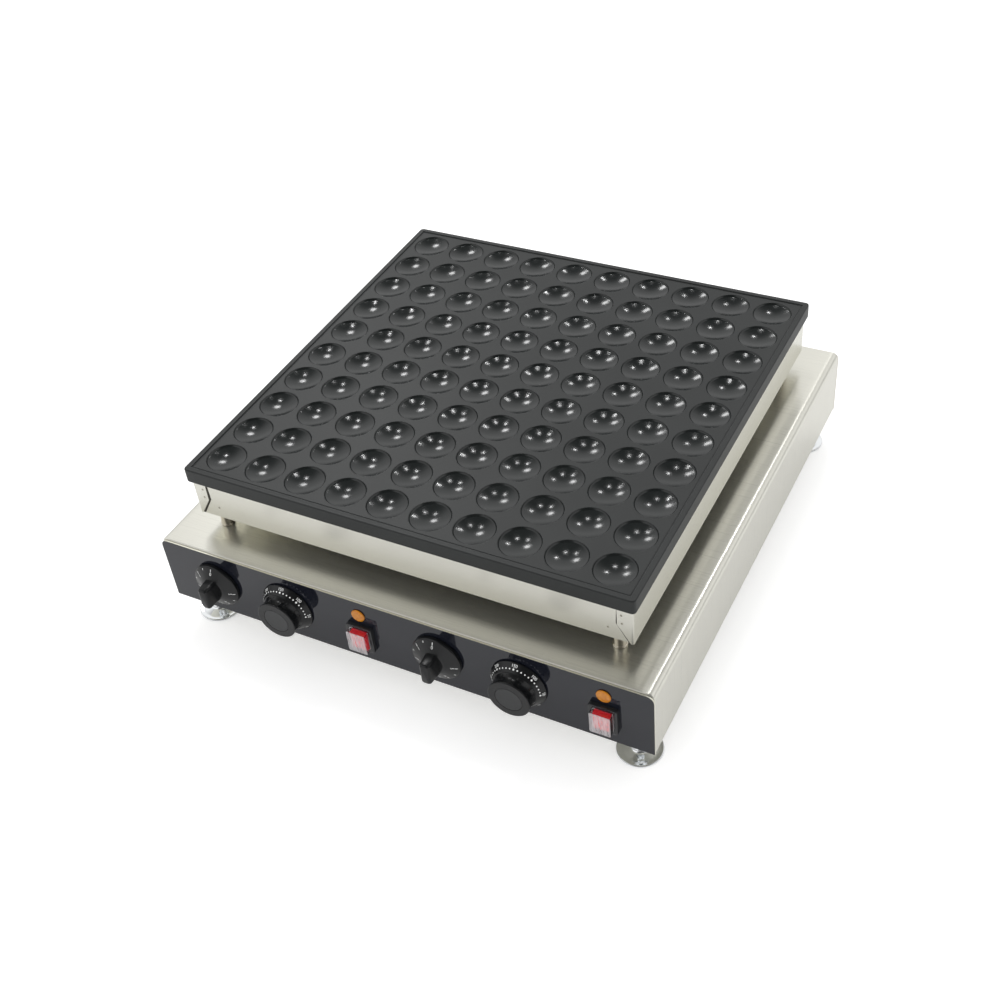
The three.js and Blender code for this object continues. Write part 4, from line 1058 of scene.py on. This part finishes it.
# Thread: its radius is root + rise (1 - |2 p - 1|), where the phase p climbs one turn per pitch
thread_sides = 36
thread_low = 9.6
thread_turns = 15
thread_pitch = 1.5
thread_root = 4.45
thread_rise = 0.55
thread_rows = np.arange(thread_turns * 6 + 1) / 6
thread_angle = np.arange(thread_sides) * 2 * np.pi / thread_sides
phase = (thread_rows[:, None] - thread_angle[None] / (2 * np.pi)) % 1
thread_radius = thread_root + thread_rise * (1 - np.abs(2 * phase - 1))
thread_z = np.broadcast_to(thread_low + thread_pitch * thread_rows[:, None], thread_radius.shape)
thread_points = np.stack(
    [thread_radius * np.cos(thread_angle), thread_radius * np.sin(thread_angle), thread_z], axis=-1
).reshape(-1, 3)
last = len(thread_points) - thread_sides
thread_ends = [list(range(thread_sides))[::-1], list(range(last, last + thread_sides))]
thread = (thread_points, grid_quads(len(thread_rows), thread_sides) + thread_ends)
foot = together(turned(foot_line, 64), thread)

# Lock nut: six flats in rows of (radius, z)
nut_low = 31.2
nut_flat = 8.5
nut_bore = 5.6
nut_sides = 72
nut_angle = np.arange(nut_sides) * 2 * np.pi / nut_sides
flats = nut_flat / np.cos((nut_angle + np.pi / 6) % (np.pi / 3) - np.pi / 6)
nut_rows = [(nut_bore, 0), (8.4, 0), (flats, 0.9), (flats, 5.1), (8.4, 6), (nut_bore, 6), (nut_bore, 0)]
nut_rings = []
for r, z in nut_rows:
    ring_z = np.full(nut_sides, nut_low + z)
    nut_rings.append(np.stack([r * np.cos(nut_angle), r * np.sin(nut_angle), ring_z], axis=-1))
lock_nut = (np.concatenate(nut_rings), grid_quads(len(nut_rows), nut_sides))
corners = [("front_left", -1, -1), ("front_right", 1, -1), ("rear_left", -1, 1), ("rear_right", 1, 1)]
for corner, side, end in corners:
    at = {"x": side * foot_x, "y": end * foot_y + plate_middle_y}
    body = f"levelling_foot_{corner}"
    make_piece(f"foot_{corner}_chromed", moved(foot, **at), chrome, body, f"foot_{corner}")
    make_piece(f"foot_nut_{corner}_chromed", moved(lock_nut, **at), chrome, "cooker", f"foot_nut_{corner}")


# Housing spacers
# Four turned spacers of yellow-passivated steel between the base's top and the housing's flanges, each
# bolted through from below.

yellow_zinc = plain_finish("zinc_yellow", (0.72, 0.67, 0.57), 0.1, metal=1, spread=0.12)
spacer_x = 226
spacer_y = 232
spacer_line = softened(
    [
        [4.2, 119.8],
        [7.5, 119.8],
        [7.5, 121.6],
        [6.6, 122.0],
        [6.6, 137.0],
        [7.5, 137.4],
        [7.5, 139.2],
        [4.2, 139.2],
        [4.2, 119.8],
    ],
    [0.3, 0.3, 0.3, 0.3, 0.3, 0.3, 0.2],
    3,
)
spacer = turned(spacer_line, 48)
for corner, side, end in corners:
    column = moved(spacer, x=side * spacer_x, y=end * spacer_y + plate_middle_y)
    name = f"housing_spacer_{corner}"
    make_piece(f"{name}_turned", column, yellow_zinc, "cooker", name)


# Mains entry
# A black moulded bushing snapped in the rear panel, with a ribbed nose that flexes and an open bore for the
# lead.

gland_x = -200
gland_y = 281
gland_z = 68
rib_step = 2.9
rib_taper = 0.28
gland_line = [[4.5, -5.5], [8, -5.5], [8.9, -1.5], [8, -1.5], [8, 0.3], [13, 0.3], [13, 4], [8.2, 4]]
for rib in range(5):
    z = 5.0 + rib_step * rib
    r = 8.0 - rib_taper * rib
    gland_line += [[r, z], [r, z + 1.7], [r - 0.7, z + 1.9], [r - 0.7, z + 2.7]]
gland_line += [[6.6, 19.6], [6.2, 20], [4.5, 20], [4.5, -5.5]]
gland_points, gland_faces = turned(gland_line, 48)
facing_rear = gland_points[:, [0, 2, 1]] * (1, 1, -1) + (gland_x, gland_y + plate_middle_y, gland_z)
make_piece("cable_gland_bushing", (facing_rear, gland_faces), knob_plastic, "cooker", "cable_gland")


# Heaters and controls inside
# Tubular heaters, their clamp bars, copper sensing bulbs, plated sleeves, grey control bodies, steel shafts
# and a ceramic terminal block keep the frame's own solids.

heater_sheath = plain_finish("heater_sheath", (0.11, 0.105, 0.1), 0.5, metal=0.8)
bulb_copper = plain_finish("bulb_copper", (0.62, 0.29, 0.16), 0.3, metal=1)
control_grey = plain_finish("control_body_grey", (0.26, 0.27, 0.275), 0.55)
shaft_steel = plain_finish("shaft_steel", (0.6, 0.6, 0.58), 0.25, metal=1)
dress(plain_finish("terminal_ceramic", (0.76, 0.72, 0.62), 0.5), "terminal_block")
for side in ("left", "right"):
    dress(heater_sheath, f"heating_element_{side}")
    dress(bulb_copper, f"thermostat_bulb_{side}")
    dress(yellow_zinc, f"wire_sleeve_{side}")
    dress(level_steel, f"heater_clamp_front_{side}", f"heater_clamp_rear_{side}")
    dress(control_grey, f"timer_body_{side}", f"thermostat_body_{side}", f"lamp_body_{side}")
    dress(shaft_steel, f"timer_shaft_{side}", f"thermostat_shaft_{side}")
